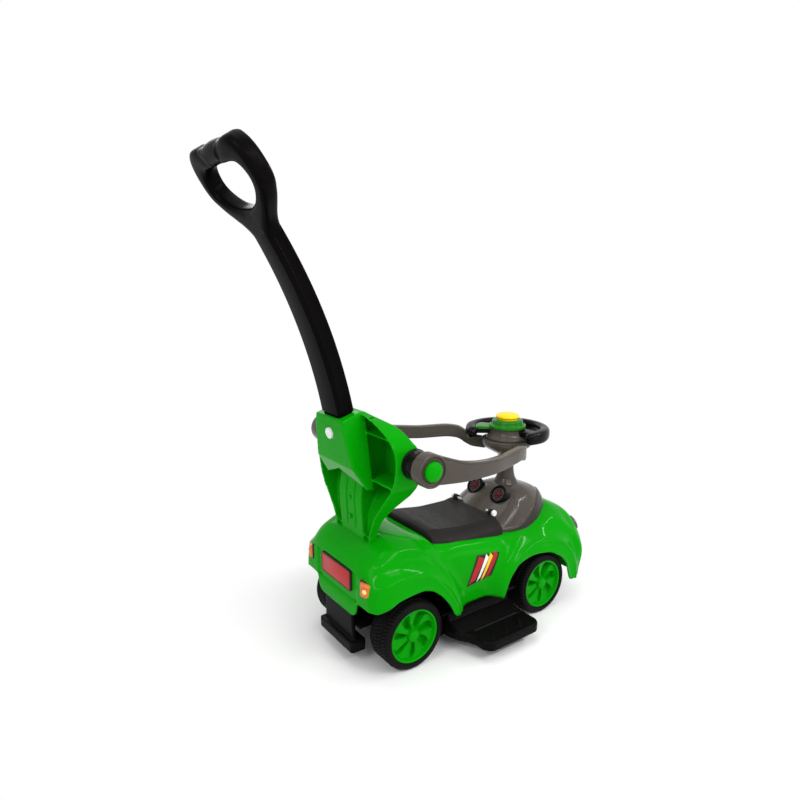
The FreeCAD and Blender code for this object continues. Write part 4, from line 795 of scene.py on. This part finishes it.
STEER = 338.0
STEER_FOOT = (STEER, 0, 0)
WHEEL_TURN = math.radians(28)
WHEEL_Z, RIM_MIDDLE = 363, 78


def make_column():
    line = [(207.3, 29), (236, 29), (246, 28), (254, 24), (263, 19.6), (274, 17.3), (286, 16.5), (302, 16.5),
            (309, 17.6), (315, 23), (322, 35), (329, 45), (335, 51.4), (340, 53.6), (345, 54)]
    profile = [(6.1, 207.3)]
    for i in range(93):
        z = 207.3 + (345 - 207.3) * i / 92
        profile.append((smooth(line, z), z))
    profile += [(53.8, 346.2), (53, 346.8), (51.6, 347), (48.6, 347), (48, 346.4), (46.4, 346.4),
                (45.8, 347), (6.1, 347)]
    form = Form()
    form.turn(STEER_FOOT, UP, profile, 96)
    for angle in (90, 150, 210, 270):
        away = Vector((math.cos(math.radians(angle)), math.sin(math.radians(angle)), 0))
        line_up = [Vector(STEER_FOOT) + away * (smooth(line, z) - 0.2) + Vector((0, 0, z))
                   for z in (318, 321, 324, 327, 330, 333, 336, 339)]
        bead(form, line_up, 1.3, 1)
    form.piece("column_form", GREY, "car", "console_grey", ("column_housing",), sharp=42)


def wheel_spot(radius, angle, z):
    """A spot on the steering wheel, by its own angle."""
    return (STEER + radius * math.cos(angle + WHEEL_TURN), radius * math.sin(angle + WHEEL_TURN), z)


def make_steering_wheel():
    form = Form()
    ends = math.radians(135)
    rings = []
    count = 108
    for i in range(count + 1):
        angle = -ends + 2 * ends * i / count
        near = min(i, count - i) * 2 * ends / count * RIM_MIDDLE
        size = math.sqrt(max(1 - (1 - min(near / 11, 1)) ** 2, 0.0004))
        tall = 11.6 + 1.4 * math.exp(-((abs(math.degrees(angle)) - 100) / 22) ** 2)
        section = []
        for k in range(28):
            a = math.tau * k / 28
            ca, sa = math.cos(a), math.sin(a)
            reach = squircle(a, 3.2) * size
            height = WHEEL_Z + tall * reach * sa - 0.05 * reach * ca * tall
            section.append(wheel_spot(RIM_MIDDLE + 10.6 * reach * ca, angle, height))
        rings.append(section)
    form.tube(rings)
    for spoke in (0, 100, -100):
        turn = math.radians(spoke) + WHEEL_TURN
        rings = []
        for i in range(17):
            out = 12 + 62 * i / 16
            half = smooth([(12, 17), (24, 14), (40, 12.5), (58, 14.5), (74, 22)], out)
            drop = smooth([(12, 3), (40, 0), (74, -1)], out)
            rings.append([(STEER + math.cos(turn) * out - math.sin(turn) * a,
                           math.sin(turn) * out + math.cos(turn) * a, WHEEL_Z + drop + b)
                          for a, b in rounded(half, 6.2, 3.2, 4)])
        form.tube(rings)
    form.piece("steering_rim", BLACK, "steering", "frame_black", ("steering_wheel",), sharp=50)
    boss = [(8, 347.5), (43, 347.5), (44.4, 348.2), (44.6, 350), (43.4, 352.4), (40, 355.6), (37, 360),
            (35.6, 366), (35, 371), (8, 371)]
    turned("wheel_boss", GREY, "steering", "console_grey", (), STEER_FOOT, UP, boss, 80)
    plate = Form()
    turn = math.radians(100) + WHEEL_TURN
    shape = eased([(24, -14), (44, -20), (62, -23), (67, -12), (69, 0), (67, 12), (62, 23), (44, 20),
                   (24, 14)], 6, 4, True)
    plate.tube([[(STEER + math.cos(turn) * r * k - math.sin(turn) * a * k,
                  math.sin(turn) * r * k + math.cos(turn) * a * k, z) for r, a in shape]
                for z, k in ((368, 1), (371.6, 1), (372.4, 0.985), (372.8, 0.95))])
    plate.piece("spoke_plates", PAD_GREEN, "steering", "body_green", sharp=40)


def make_horn():
    pad = Form()
    pad.turn(STEER_FOOT, UP, [
        (7.4, 371.4), (37.6, 371.4), (38.8, 372.2), (39, 373.4), (39, 376), (38.4, 377.2), (37, 377.8),
        (34.4, 378.4), (33.4, 379.4), (32.6, 383), (31.8, 386.4), (30.6, 388.2), (28.6, 389.2), (25.4, 389.4),
        (22.8, 389), (21.6, 388), (21.4, 386), (21.4, 375.4), (7.4, 375.4)], 96)
    rib = ((36.6, 378), (35, 378.6), (33.6, 380), (32.9, 383), (32.2, 385.6))
    for i in range(12):
        angle = math.tau * (i + 0.5) / 12
        away = Vector((math.cos(angle), math.sin(angle), 0))
        bead(pad, [Vector(STEER_FOOT) + away * r + Vector((0, 0, z)) for r, z in rib], 0.9, 1)
    pad.piece("horn_pad_form", PAD_GREEN, "steering", "body_green", ("horn_pad",), sharp=38)
    button = [(0.05, 379.4), (20, 379.4), (21, 380.2), (21, 392.8), (23.6, 393), (24.6, 393.8), (24.7, 395.4),
              (24.1, 397.2), (22.4, 398.8), (19.4, 400), (16, 400.5), (15.4, 400.2), (14.6, 400.2),
              (14, 400.6), (8, 400.9), (0.05, 401)]
    turned("horn_button_form", YELLOW, "horn", "horn_yellow", ("horn_button",),
           STEER_FOOT, UP, button, 80, 38)


def make_spring():
    """The coil under the horn button, built at one length."""
    low, high = (Vector(c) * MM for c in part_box("horn_spring"))
    wire, turns, press = 0.6, 4.5, 3.1
    radius, start, length = (high.y - low.y) / 2 - wire, low.z + wire, high.z - low.z - 2 * wire
    count = 120
    rings = []
    for i in range(count + 1):
        turn = math.tau * turns * i / count
        away = Vector((math.cos(turn), math.sin(turn), 0))
        middle = Vector((STEER, 0, start + length * i / count)) + away * radius
        rings.append([tuple(middle + away * (wire * math.cos(a)) + Vector((0, 0, wire * math.sin(a))))
                      for a in (math.tau * k / 8 for k in range(8))])
    form = Form()
    form.tube(rings)
    coil = form.piece("horn_coil", STEEL, "steering", "steel", ("horn_spring",), sharp=60)
    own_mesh(coil)


# Guard arms

HUB = (-7.0, 385.0)
ARM = [(-7, 170.5, 385, 50), (14, 170.5, 381.5, 48.5), (35, 170.2, 376.5, 43.5), (53, 169, 372, 39),
       (71, 167.5, 368, 35), (111, 160.5, 362, 30), (162.5, 146.5, 356, 28), (211, 128.5, 353, 27),
       (254, 113.5, 353, 27), (283, 98.5, 349, 27), (297, 83.5, 338, 26), (306, 67.5, 332, 25),
       (318, 45, 331.2, 24.4)]


def make_guard_arm(side, sign):
    form = Form()
    lines = [list(enumerate(line)) for line in zip(*ARM)]
    fine = 8
    spots = [[smooth(line, i / fine) for line in lines] for i in range(fine * (len(ARM) - 1) + 1)]
    rings = []
    for i, (x, y, z, high) in enumerate(spots):
        before, after = spots[max(i - 1, 0)], spots[min(i + 1, len(spots) - 1)]
        along = Vector((after[0] - before[0], after[1] - before[1], 0)).normalized()
        out = Vector((-along.y, along.x, 0))
        tall = high / 2
        half = 7.5
        outside = [(-half, -tall), (half, -tall), (half, tall - 5.2), (half - 1, tall - 4.6),
                   (half - 1, tall - 3.8), (half, tall - 3.2), (half, tall), (-half, tall)]
        section = eased(outside, 2.6, 3, True)
        rings.append([(x + out.x * a, sign * (y + out.y * a), z + b) for a, b in section])
    form.tube(rings)
    face = 183.0
    profile = [(0.05, 158 - face), (26.6, 158 - face), (28.5, 159.8 - face), (28.5, -3.4), (28, -1.6),
               (27.2, -0.5), (26.2, 0), (25.4, -0.1), (24.7, -0.8), (24.3, -2.2), (23.8, -3.6), (22.8, -4.1),
               (20, -4.2), (19.4, -3.4), (18.8, -2.6), (18, -2.6), (17.6, -3.4), (17.5, -4.2), (0.05, -4.2)]
    form.turn((HUB[0], sign * face, HUB[1]), (0, sign, 0), profile, 96)
    form.piece(f"guard_{side}", GREY, "car", "console_grey", (f"guard_arm_{side}",), sharp=45)
    dome = [(0.05, 0.3), (16.6, 0.3), (17, 0.8), (17, 3.4), (16.7, 5), (15.7, 6.7), (13.8, 8.2), (10.8, 9.5),
            (6.6, 10.3), (3, 10.5), (0.05, 10.6)]
    turned(f"guard_dome_{side}", GREEN, "car", "body_green", (f"guard_cap_{side}",),
           (HUB[0], sign * (face - 4), HUB[1]), (0, sign, 0), dome, 72)
    drum = [(0.05, 130.3), (25.6, 130.3), (26.5, 131.2), (26.5, 133.4), (25.6, 134.3), (25, 134.6), (25, 147),
            (24.4, 147.4), (24.4, 149), (25, 149.4), (25, 156.4), (24, 157.7), (0.05, 157.7)]
    turned(f"drum_{side}", BLACK, "car", "frame_black", (f"guard_drum_{side}",),
           (HUB[0], 0, HUB[1]), (0, sign, 0), drum, 80)


# Push handle

HANDLE_START, HANDLE_RUN = (-76.0, 461.0), 322.0
HANDLE_LEAN, HANDLE_BEND, LOOP_LEAN = 12, 20, 33
STEM_WIDE, STEM_DEEP = [(0, 61), (0.5, 57), (1, 50)], [(0, 30.5), (0.5, 30), (1, 28.5)]
LOOP_FORWARD = 2.6


def leaning(lean):
    """Directions up and forward along a handle that leans back."""
    return Vector((-math.sin(lean), 0, math.cos(lean))), Vector((math.cos(lean), 0, math.sin(lean)))


def handle_frame(run):
    """Middle of the handle, and its directions up and forward, a run above the socket's mouth."""
    x, z = HANDLE_START
    steps = 40
    for i in range(steps):
        bend = HANDLE_BEND / HANDLE_RUN * run * (i + 0.5) / steps if run > 0 else 0
        lean = math.radians(HANDLE_LEAN + bend)
        x, z = x - math.sin(lean) * run / steps, z + math.cos(lean) * run / steps
    return Vector((x, 0, z)), *leaning(lean)


def handle_ring(run, outline):
    """An outline set square to the handle."""
    point, _, ahead = handle_frame(run)
    return [tuple(point + Vector((0, y, 0)) + ahead * x) for y, x in outline]


def stem_outline(wide, deep):
    """Across the stem: a flat rear face, bevelled sides with a shallow groove, and a rounded front."""
    half, thick = wide / 2, deep / 2
    right = [(half - 2.4, -thick), (half, -thick + 9), (half - 0.8, -thick + 10), (half - 0.8, thick - 7),
             (half, thick - 6), (half, thick)]
    return eased(right + [(-y, x) for y, x in reversed(right)], 1.3, 3, True)


def loop_ray(points, middle, angle):
    """How far a ray from the loop's middle runs to an outline."""
    away = (math.cos(angle), math.sin(angle))
    reach = 0
    for (ay, az), (by, bz) in zip(points, points[1:] + points[:1]):
        ey, ez = by - ay, bz - az
        across = away[0] * ez - away[1] * ey
        if abs(across) < 1e-9:
            continue
        t = (ay * ez - (az - middle) * ey) / across
        u = (ay * away[1] - (az - middle) * away[0]) / across
        if t > 0 and -1e-6 <= u <= 1 + 1e-6:
            reach = max(reach, t)
    return reach


def make_handle():
    form = Form()
    rings = []
    for i in range(49):
        share = i / 48
        outline = stem_outline(smooth(STEM_WIDE, share), smooth(STEM_DEEP, share))
        rings.append(handle_ring(HANDLE_RUN * share, [(y, x + LOOP_FORWARD * share) for y, x in outline]))
    form.tube(rings)
    form.tube([handle_ring(run, rounded(27.5 * k, 12.5 * k, 2, 3))
               for run, k in ((-100, 0.93), (-97, 1), (1, 1))])
    point = handle_frame(HANDLE_RUN)[0]
    up, ahead = leaning(math.radians(LOOP_LEAN))
    outside = [(25, -14), (29.5, 0), (41, 14), (76, 43), (98, 66), (102.5, 84), (101, 110), (95, 127),
               (84, 139), (69, 143.6), (54, 143), (45, 140.4), (38, 140), (18, 143), (0, 144)]
    inside = [(0, 40), (24, 41), (50, 49), (70, 63), (79, 79), (76, 94), (66, 105), (50, 109.4),
              (24, 110), (0, 110)]
    outside = eased(outside + [(-y, s) for y, s in reversed(outside[:-1])], 9, 4, True)
    inside = eased(inside + [(-y, s) for y, s in reversed(inside[1:-1])], 12, 5, True)
    middle = 78.0
    rings = []
    count = 240
    for i in range(count):
        angle = math.tau * i / count
        far, near = loop_ray(outside, middle, angle), loop_ray(inside, middle, angle)
        away = Vector((0, math.cos(angle), 0)) + up * math.sin(angle)
        turn = abs(math.degrees(math.atan2(math.cos(angle), math.sin(angle))))
        bar = 1 - step(24, 34, turn)
        thick = 14.6 + 2.4 * bar + 1.4 * bump(turn - 47, 14)
        power = 4.2 - 2 * bar
        wide, at = (far - near) / 2, (far + near) / 2
        base = point + up * middle + ahead * LOOP_FORWARD
        ring = []
        for k in range(28):
            a = math.tau * k / 28
            ca, sa = math.cos(a), math.sin(a)
            reach = squircle(a, power)
            ring.append(tuple(base + away * (at + wide * reach * ca) + ahead * (thick * reach * sa)))
        rings.append(ring)
    rings.append(rings[0])
    form.grid(rings, wrap=True)
    form.piece("handle_form", HANDLE, "handle", "handle_black", ("push_handle",), sharp=48)
    tilt = math.radians(10)
    inward = Vector((math.cos(tilt), 0, math.sin(tilt)))
    button = [(0.05, 0), (6.6, 0.1), (7, 0.5), (7.6, 0.5), (8, 0.1), (9, 0.3), (9.8, 0.9), (10, 1.8),
              (10, 10.2), (0.05, 10.2)]
    turned("lock_button_form", WHITE, "handle_lock", "pin_white", ("handle_lock_button",),
           tuple(Vector((-93, 0, 423)) - inward * 3), inward, button, 56)


# Pieces that keep their solid's shape, with moulded edges

def moulded_copy(node, name, material, body, grain, rounds):
    """The node's own shape with its edges rounded as a mould leaves them."""
    made = linked(name, frame["nodes"][node].data.copy())
    even = made.modifiers.new("even", "REMESH")
    even.mode, even.voxel_size, even.use_smooth_shade = "VOXEL", grain / MM, True
    soft = made.modifiers.new("soft", "SMOOTH")
    soft.factor, soft.iterations = 0.5, rounds
    settle(made)
    made.data.materials.clear()
    made.data.materials.append(material)
    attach(made, body)
    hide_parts(node)


BACK_REAR = [(214, -50), (244, -51), (300, -54), (345, -48), (385, -42), (430, -50), (463, -58)]


def make_back_trim():
    """Plugs over the backrest's screws and two ridges beside them."""
    trim = Form()
    for z, out in ((262, 4.6), (298, 6.2)):
        plug = [(0.05, 0), (7.2, 0), (7.2, out - 0.6), (6.6, out), (0.05, out + 0.1)]
        trim.turn((-48, 0, z), (-1, 0, 0), plug, 36)
    for y in (-14, 14):
        bead(trim, [Vector((smooth(BACK_REAR, z) + 0.4, y, z)) for z in range(240, 345, 5)], 3.4, 0.8)
    trim.piece("back_trim", GREEN, "car", "body_green", sharp=40)


def make_moulded():
    moulded_copy("backrest", "backrest_form", GREEN, "car", 1.5, 6)
    for side in ("left", "right"):
        rest = f"footrest_{side}"
        moulded_copy(rest, f"footrest_form_{side}", FRAME, rest, 1.3, 5)
    moulded_copy("rear_bumper", "bumper_form", FRAME, "car", 1.4, 5)


# Lamps, plate and stickers

def make_lamps():
    for side, sign in SIDES:
        turn = math.radians(26)
        out = Vector((-math.cos(turn), sign * math.sin(turn), 0))
        along = Vector((-math.sin(turn), -sign * math.cos(turn), 0))
        middle = Vector((-79, sign * 96, 166))
        half, tall = 13.0, 15.6

        def ring(size_a, size_b, height, corner, lean=0.16):
            return [tuple(middle + along * a + Vector((0, 0, b + lean * a)) + out * height)
                    for a, b in rounded(size_a, size_b, corner, 4)]

        bezel = Form()
        bezel.tube([ring(half, tall, -5, 3.6), ring(half, tall, 3.4, 3.6),
                    ring(half - 0.6, tall - 0.6, 4.2, 3.4), ring(half - 1.8, tall - 1.8, 4.4, 3)])
        bezel.piece(f"lamp_bezel_{side}", LAMP_FRAME, "car", "frame_black", (f"tail_lamp_{side}",), sharp=45)
        lens = Form()
        lens.tube([ring((half - 2.4) * k, (tall - 2.4) * k, h, 2.6 + 3 * (1 - k))
                   for k, h in ((1, 3), (1, 6.2), (0.96, 7.8), (0.85, 9.2), (0.66, 10.2),
                                (0.4, 10.9), (0.1, 11.2))])
        lens.piece(f"lamp_lens_{side}", AMBER, "car", "lamp_amber", sharp=50)
        core = [(0.05, 0), (4.6, 0), (4.4, 0.9), (3.4, 1.7), (1.8, 2.1), (0.05, 2.2)]
        turned(f"lamp_core_{side}", HOT, "car", "lamp_amber", (),
               tuple(middle + out * 10.2), out, core, 28, 50)


def make_head_lamps():
    for side, sign in SIDES:
        middle, out = Vector((452, sign * 84, 150)), Vector((0.85, sign * 0.35, 0.4)).normalized()
        bezel = [(0.05, 5), (15.4, 5), (16.4, 8), (16.4, 12.4), (15.8, 13.8), (14.6, 14.4), (13.6, 14.2),
                 (13, 13.4), (12.8, 11.6), (0.05, 11)]
        turned(f"head_lamp_rim_{side}", SILVER, "car", "lamp_clear", (f"head_lamp_{side}",),
               middle, out, bezel, 72, 45)
        lens = Form()
        lens.turn(middle, out, [(0.05, 11.4), (12.4, 11.4), (12.8, 12.4), (12.4, 14.4), (11.2, 16.2),
                                (9, 17.8), (6, 18.9), (3, 19.5), (0.05, 19.7)], 64)
        rib = ((3, 19.4), (5, 19.1), (7, 18.5), (9, 17.7), (10.6, 16.6))
        for k in range(8):
            turn = math.tau * k / 8
            across = out.cross(Vector(UP)).normalized()
            away = across * math.cos(turn) + out.cross(across) * math.sin(turn)
            bead(lens, [middle + away * r + out * h for r, h in rib], 0.7, 1)
        lens.piece(f"head_lamp_lens_{side}", CLEAR, "car", "lamp_clear", sharp=50)


def make_grille():
    frame_form, slats = Form(), Form()
    middle = 102

    def ring(half, tall, out, corner):
        return [(NOSE + out - chin(middle + b), a, middle + b) for a, b in rounded(half, tall, corner, 5)]

    frame_form.tube([ring(40, 16, -2.5, 4), ring(40, 16, 2.4, 4), ring(39.4, 15.4, 3.2, 4),
                     ring(37.4, 13.4, 3.4, 3), ring(36.8, 12.8, 2.8, 3), ring(36.6, 12.6, 0.8, 3)])
    frame_form.piece("grille_frame", FRAME, "car", "frame_black", ("front_grille",), sharp=40)
    for k in range(4):
        z = middle + 6.2 * (k - 1.5)
        slats.tube([[(NOSE + 1.6 + a - chin(z + b), y, z + b) for a, b in rounded(1.5, 1.2, 0.8, 3)]
                    for y in (-37, 37)])
    slats.piece("grille_slats", SILVER, "car", "console_grey", sharp=40)


def make_plate():
    plate, rim = Form(), Form()
    x, middle = TAIL, 164
    plate.tube([[(x - h, y, middle + z) for y, z in rounded(52 + e, 19 + e, 2.5, 4)]
                for h, e in ((-3.6, -2.4), (1.6, -2.4), (1.9, -2.8))])
    plate.piece("plate_form", RED, "car", "plate_red", ("rear_plate",), sharp=40)
    rings = [[(x - h, y, middle + z) for y, z in rounded(52 + e, 19 + e, 3 + e / 2, 5)]
             for h, e in ((-3.6, -0.2), (1.7, -0.2), (2.1, -0.6), (2.1, -1.8), (1.8, -2.2), (-3.6, -2.3))]
    rim.grid(rings + rings[:1], wrap=True)
    rim.piece("plate_rim", LAMP_FRAME, "car", "frame_black", sharp=45)


def side_spot(x, z, sign, lift):
    """A spot on the body's side, a little off its skin."""
    right = body_section(x, 193)[:97]
    k = next(i for i, p in enumerate(right) if p[2] >= z)
    a, b = right[max(k - 1, 0)], right[max(k, 1)]
    share = (z - a[2]) / (b[2] - a[2])
    return (x, sign * (lift - a[1] - (b[1] - a[1]) * share), z)


def patch(name, material, corners, sign, lift):
    """A thin sticker on the body's side, between four corners given as (x, z)."""
    form = Form()
    across, down = 14, 8
    rows = []
    for i in range(down + 1):
        row = []
        for j in range(across + 1):
            u, v = j / across, i / down
            weights = ((1 - u) * (1 - v), u * (1 - v), u * v, (1 - u) * v)
            x, z = (sum(w * c[k] for w, c in zip(weights, corners)) for k in (0, 1))
            row.append(side_spot(x, z, sign, lift))
        rows.append(row)
    form.grid(rows)
    form.piece(name, material, "car", "body_green")


def make_stickers():
    """Slanted bands on a black field, on both sides of the body."""
    bands = [(INK, 0, 62, 0.3), (RED_INK, 5, 22, 0.4), (WHITE_INK, 24, 33, 0.45), (YELLOW_INK, 35, 44, 0.5),
             (RED_INK, 46, 57, 0.4)]
    rear, slant = 132, 26
    for side, sign in SIDES:
        for k, (material, start, end, lift) in enumerate(bands):
            inset = 0 if k == 0 else 3
            corners = [(rear + start + slant, 168 - inset), (rear + end + slant * 0.9, 160 - inset),
                       (rear + end, 118 + inset), (rear + start, 112 + inset)]
            patch(f"sticker_{side}_{k}", material, corners, sign, lift)


# Floor and light

def pale_floor():
    """A pale floor that takes the shadow and runs out to plain white further away."""
    shader = Shader("pale_floor")
    shader.set(Base_Color=(0.9, 0.9, 0.9, 1), Roughness=0.9, Specular_IOR_Level=0.0)
    place = shader.node("ShaderNodeVectorMath", operation="LENGTH")
    shader.link(shader.coords.outputs["Object"], place.inputs[0])
    far = shader.span(place.outputs["Value"], 0, 1, 0.25, 0.7)
    path = shader.node("ShaderNodeLightPath")
    seen = shader.node("ShaderNodeMath", operation="MAXIMUM")
    shader.link(path.outputs["Is Camera Ray"], seen.inputs[0])
    shader.link(path.outputs["Is Glossy Ray"], seen.inputs[1])
    both = shader.node("ShaderNodeMath", operation="MULTIPLY")
    shader.link(far, both.inputs[0])
    shader.link(seen.outputs[0], both.inputs[1])
    glow = shader.node("ShaderNodeEmission", Color=(1, 1, 1, 1), Strength=1.0)
    blend = shader.node("ShaderNodeMixShader")
    shader.link(both.outputs[0], blend.inputs[0])
    shader.link(shader.surface.outputs[0], blend.inputs[1])
    shader.link(glow.outputs[0], blend.inputs[2])
    shader.link(blend.outputs[0], shader.tree.nodes["Material Output"].inputs["Surface"])
    reach = 14
    data = bpy.data.meshes.new("floor")
    corners = [(-reach, -reach, 0), (reach, -reach, 0), (reach, reach, 0), (-reach, reach, 0)]
    data.from_pydata(corners, [], [(0, 1, 2, 3)])
    floor = linked("floor", data)
    floor.data.materials.append(shader.material)


def studio_world():
    """Even light all round; the camera, gloss and glass see it as white."""
    world = bpy.data.worlds.new("studio")
    bpy.context.scene.world = world
    world.use_nodes = True
    tree = world.node_tree
    plain = tree.nodes["Background"]
    plain.inputs["Color"].default_value = (1, 1, 1, 1)
    plain.inputs["Strength"].default_value = 0.5
    white = tree.nodes.new("ShaderNodeBackground")
    white.inputs["Color"].default_value = (1, 1, 1, 1)
    path = tree.nodes.new("ShaderNodeLightPath")
    seen = path.outputs["Is Camera Ray"]
    for ray in ("Is Glossy Ray", "Is Transmission Ray"):
        either = tree.nodes.new("ShaderNodeMath")
        either.operation = "MAXIMUM"
        tree.links.new(seen, either.inputs[0])
        tree.links.new(path.outputs[ray], either.inputs[1])
        seen = either.outputs[0]
    blend = tree.nodes.new("ShaderNodeMixShader")
    tree.links.new(seen, blend.inputs[0])
    tree.links.new(plain.outputs[0], blend.inputs[1])
    tree.links.new(white.outputs[0], blend.inputs[2])
    tree.links.new(blend.outputs[0], tree.nodes["World Output"].inputs["Surface"])


def soft_box(name, place, aim, size, power):
    data = bpy.data.lights.new(name, "AREA")
    data.shape, data.size, data.size_y, data.energy = "RECTANGLE", size[0], size[1], power
    lamp = linked(name, data)
    lamp.location = place
    lamp.rotation_euler = (Vector(aim) - Vector(place)).to_track_quat("-Z", "Y").to_euler()


def light_studio():
    studio_world()
    middle = (0.05, 0, 0.3)
    soft_box("key", (0.6, -1.9, 1.9), middle, (1.1, 0.7), 13)
    soft_box("top", (-0.2, 0.1, 2.6), middle, (1.6, 1.2), 17)
    soft_box("rear", (-2.2, -0.5, 1.3), middle, (1.0, 1.0), 9)
    soft_box("far", (0.4, 2.2, 1.6), middle, (1.2, 0.8), 10)
    soft_box("strip_side", (0.0, -1.5, 1.5), middle, (1.8, 0.05), 12)
    soft_box("strip_rear", (-1.5, -0.7, 1.5), middle, (0.9, 0.05), 7)
    soft_box("strip_front", (1.2, -0.8, 1.3), middle, (0.9, 0.05), 7)
    soft_box("card_front", (1.3, -1.7, 0.25), (0, 0, 0.35), (0.7, 0.7), 3)


place_camera()
dress_nodes()
make_body()
make_wheels()
make_seat()
make_console()
make_column()
make_steering_wheel()
make_horn()
make_spring()
for side, sign in SIDES:
    make_guard_arm(side, sign)
make_handle()
make_moulded()
make_back_trim()
make_lamps()
make_head_lamps()
make_grille()
make_plate()
make_stickers()
pale_floor()
light_studio()
bpy.context.scene.view_settings.view_transform = "Standard"
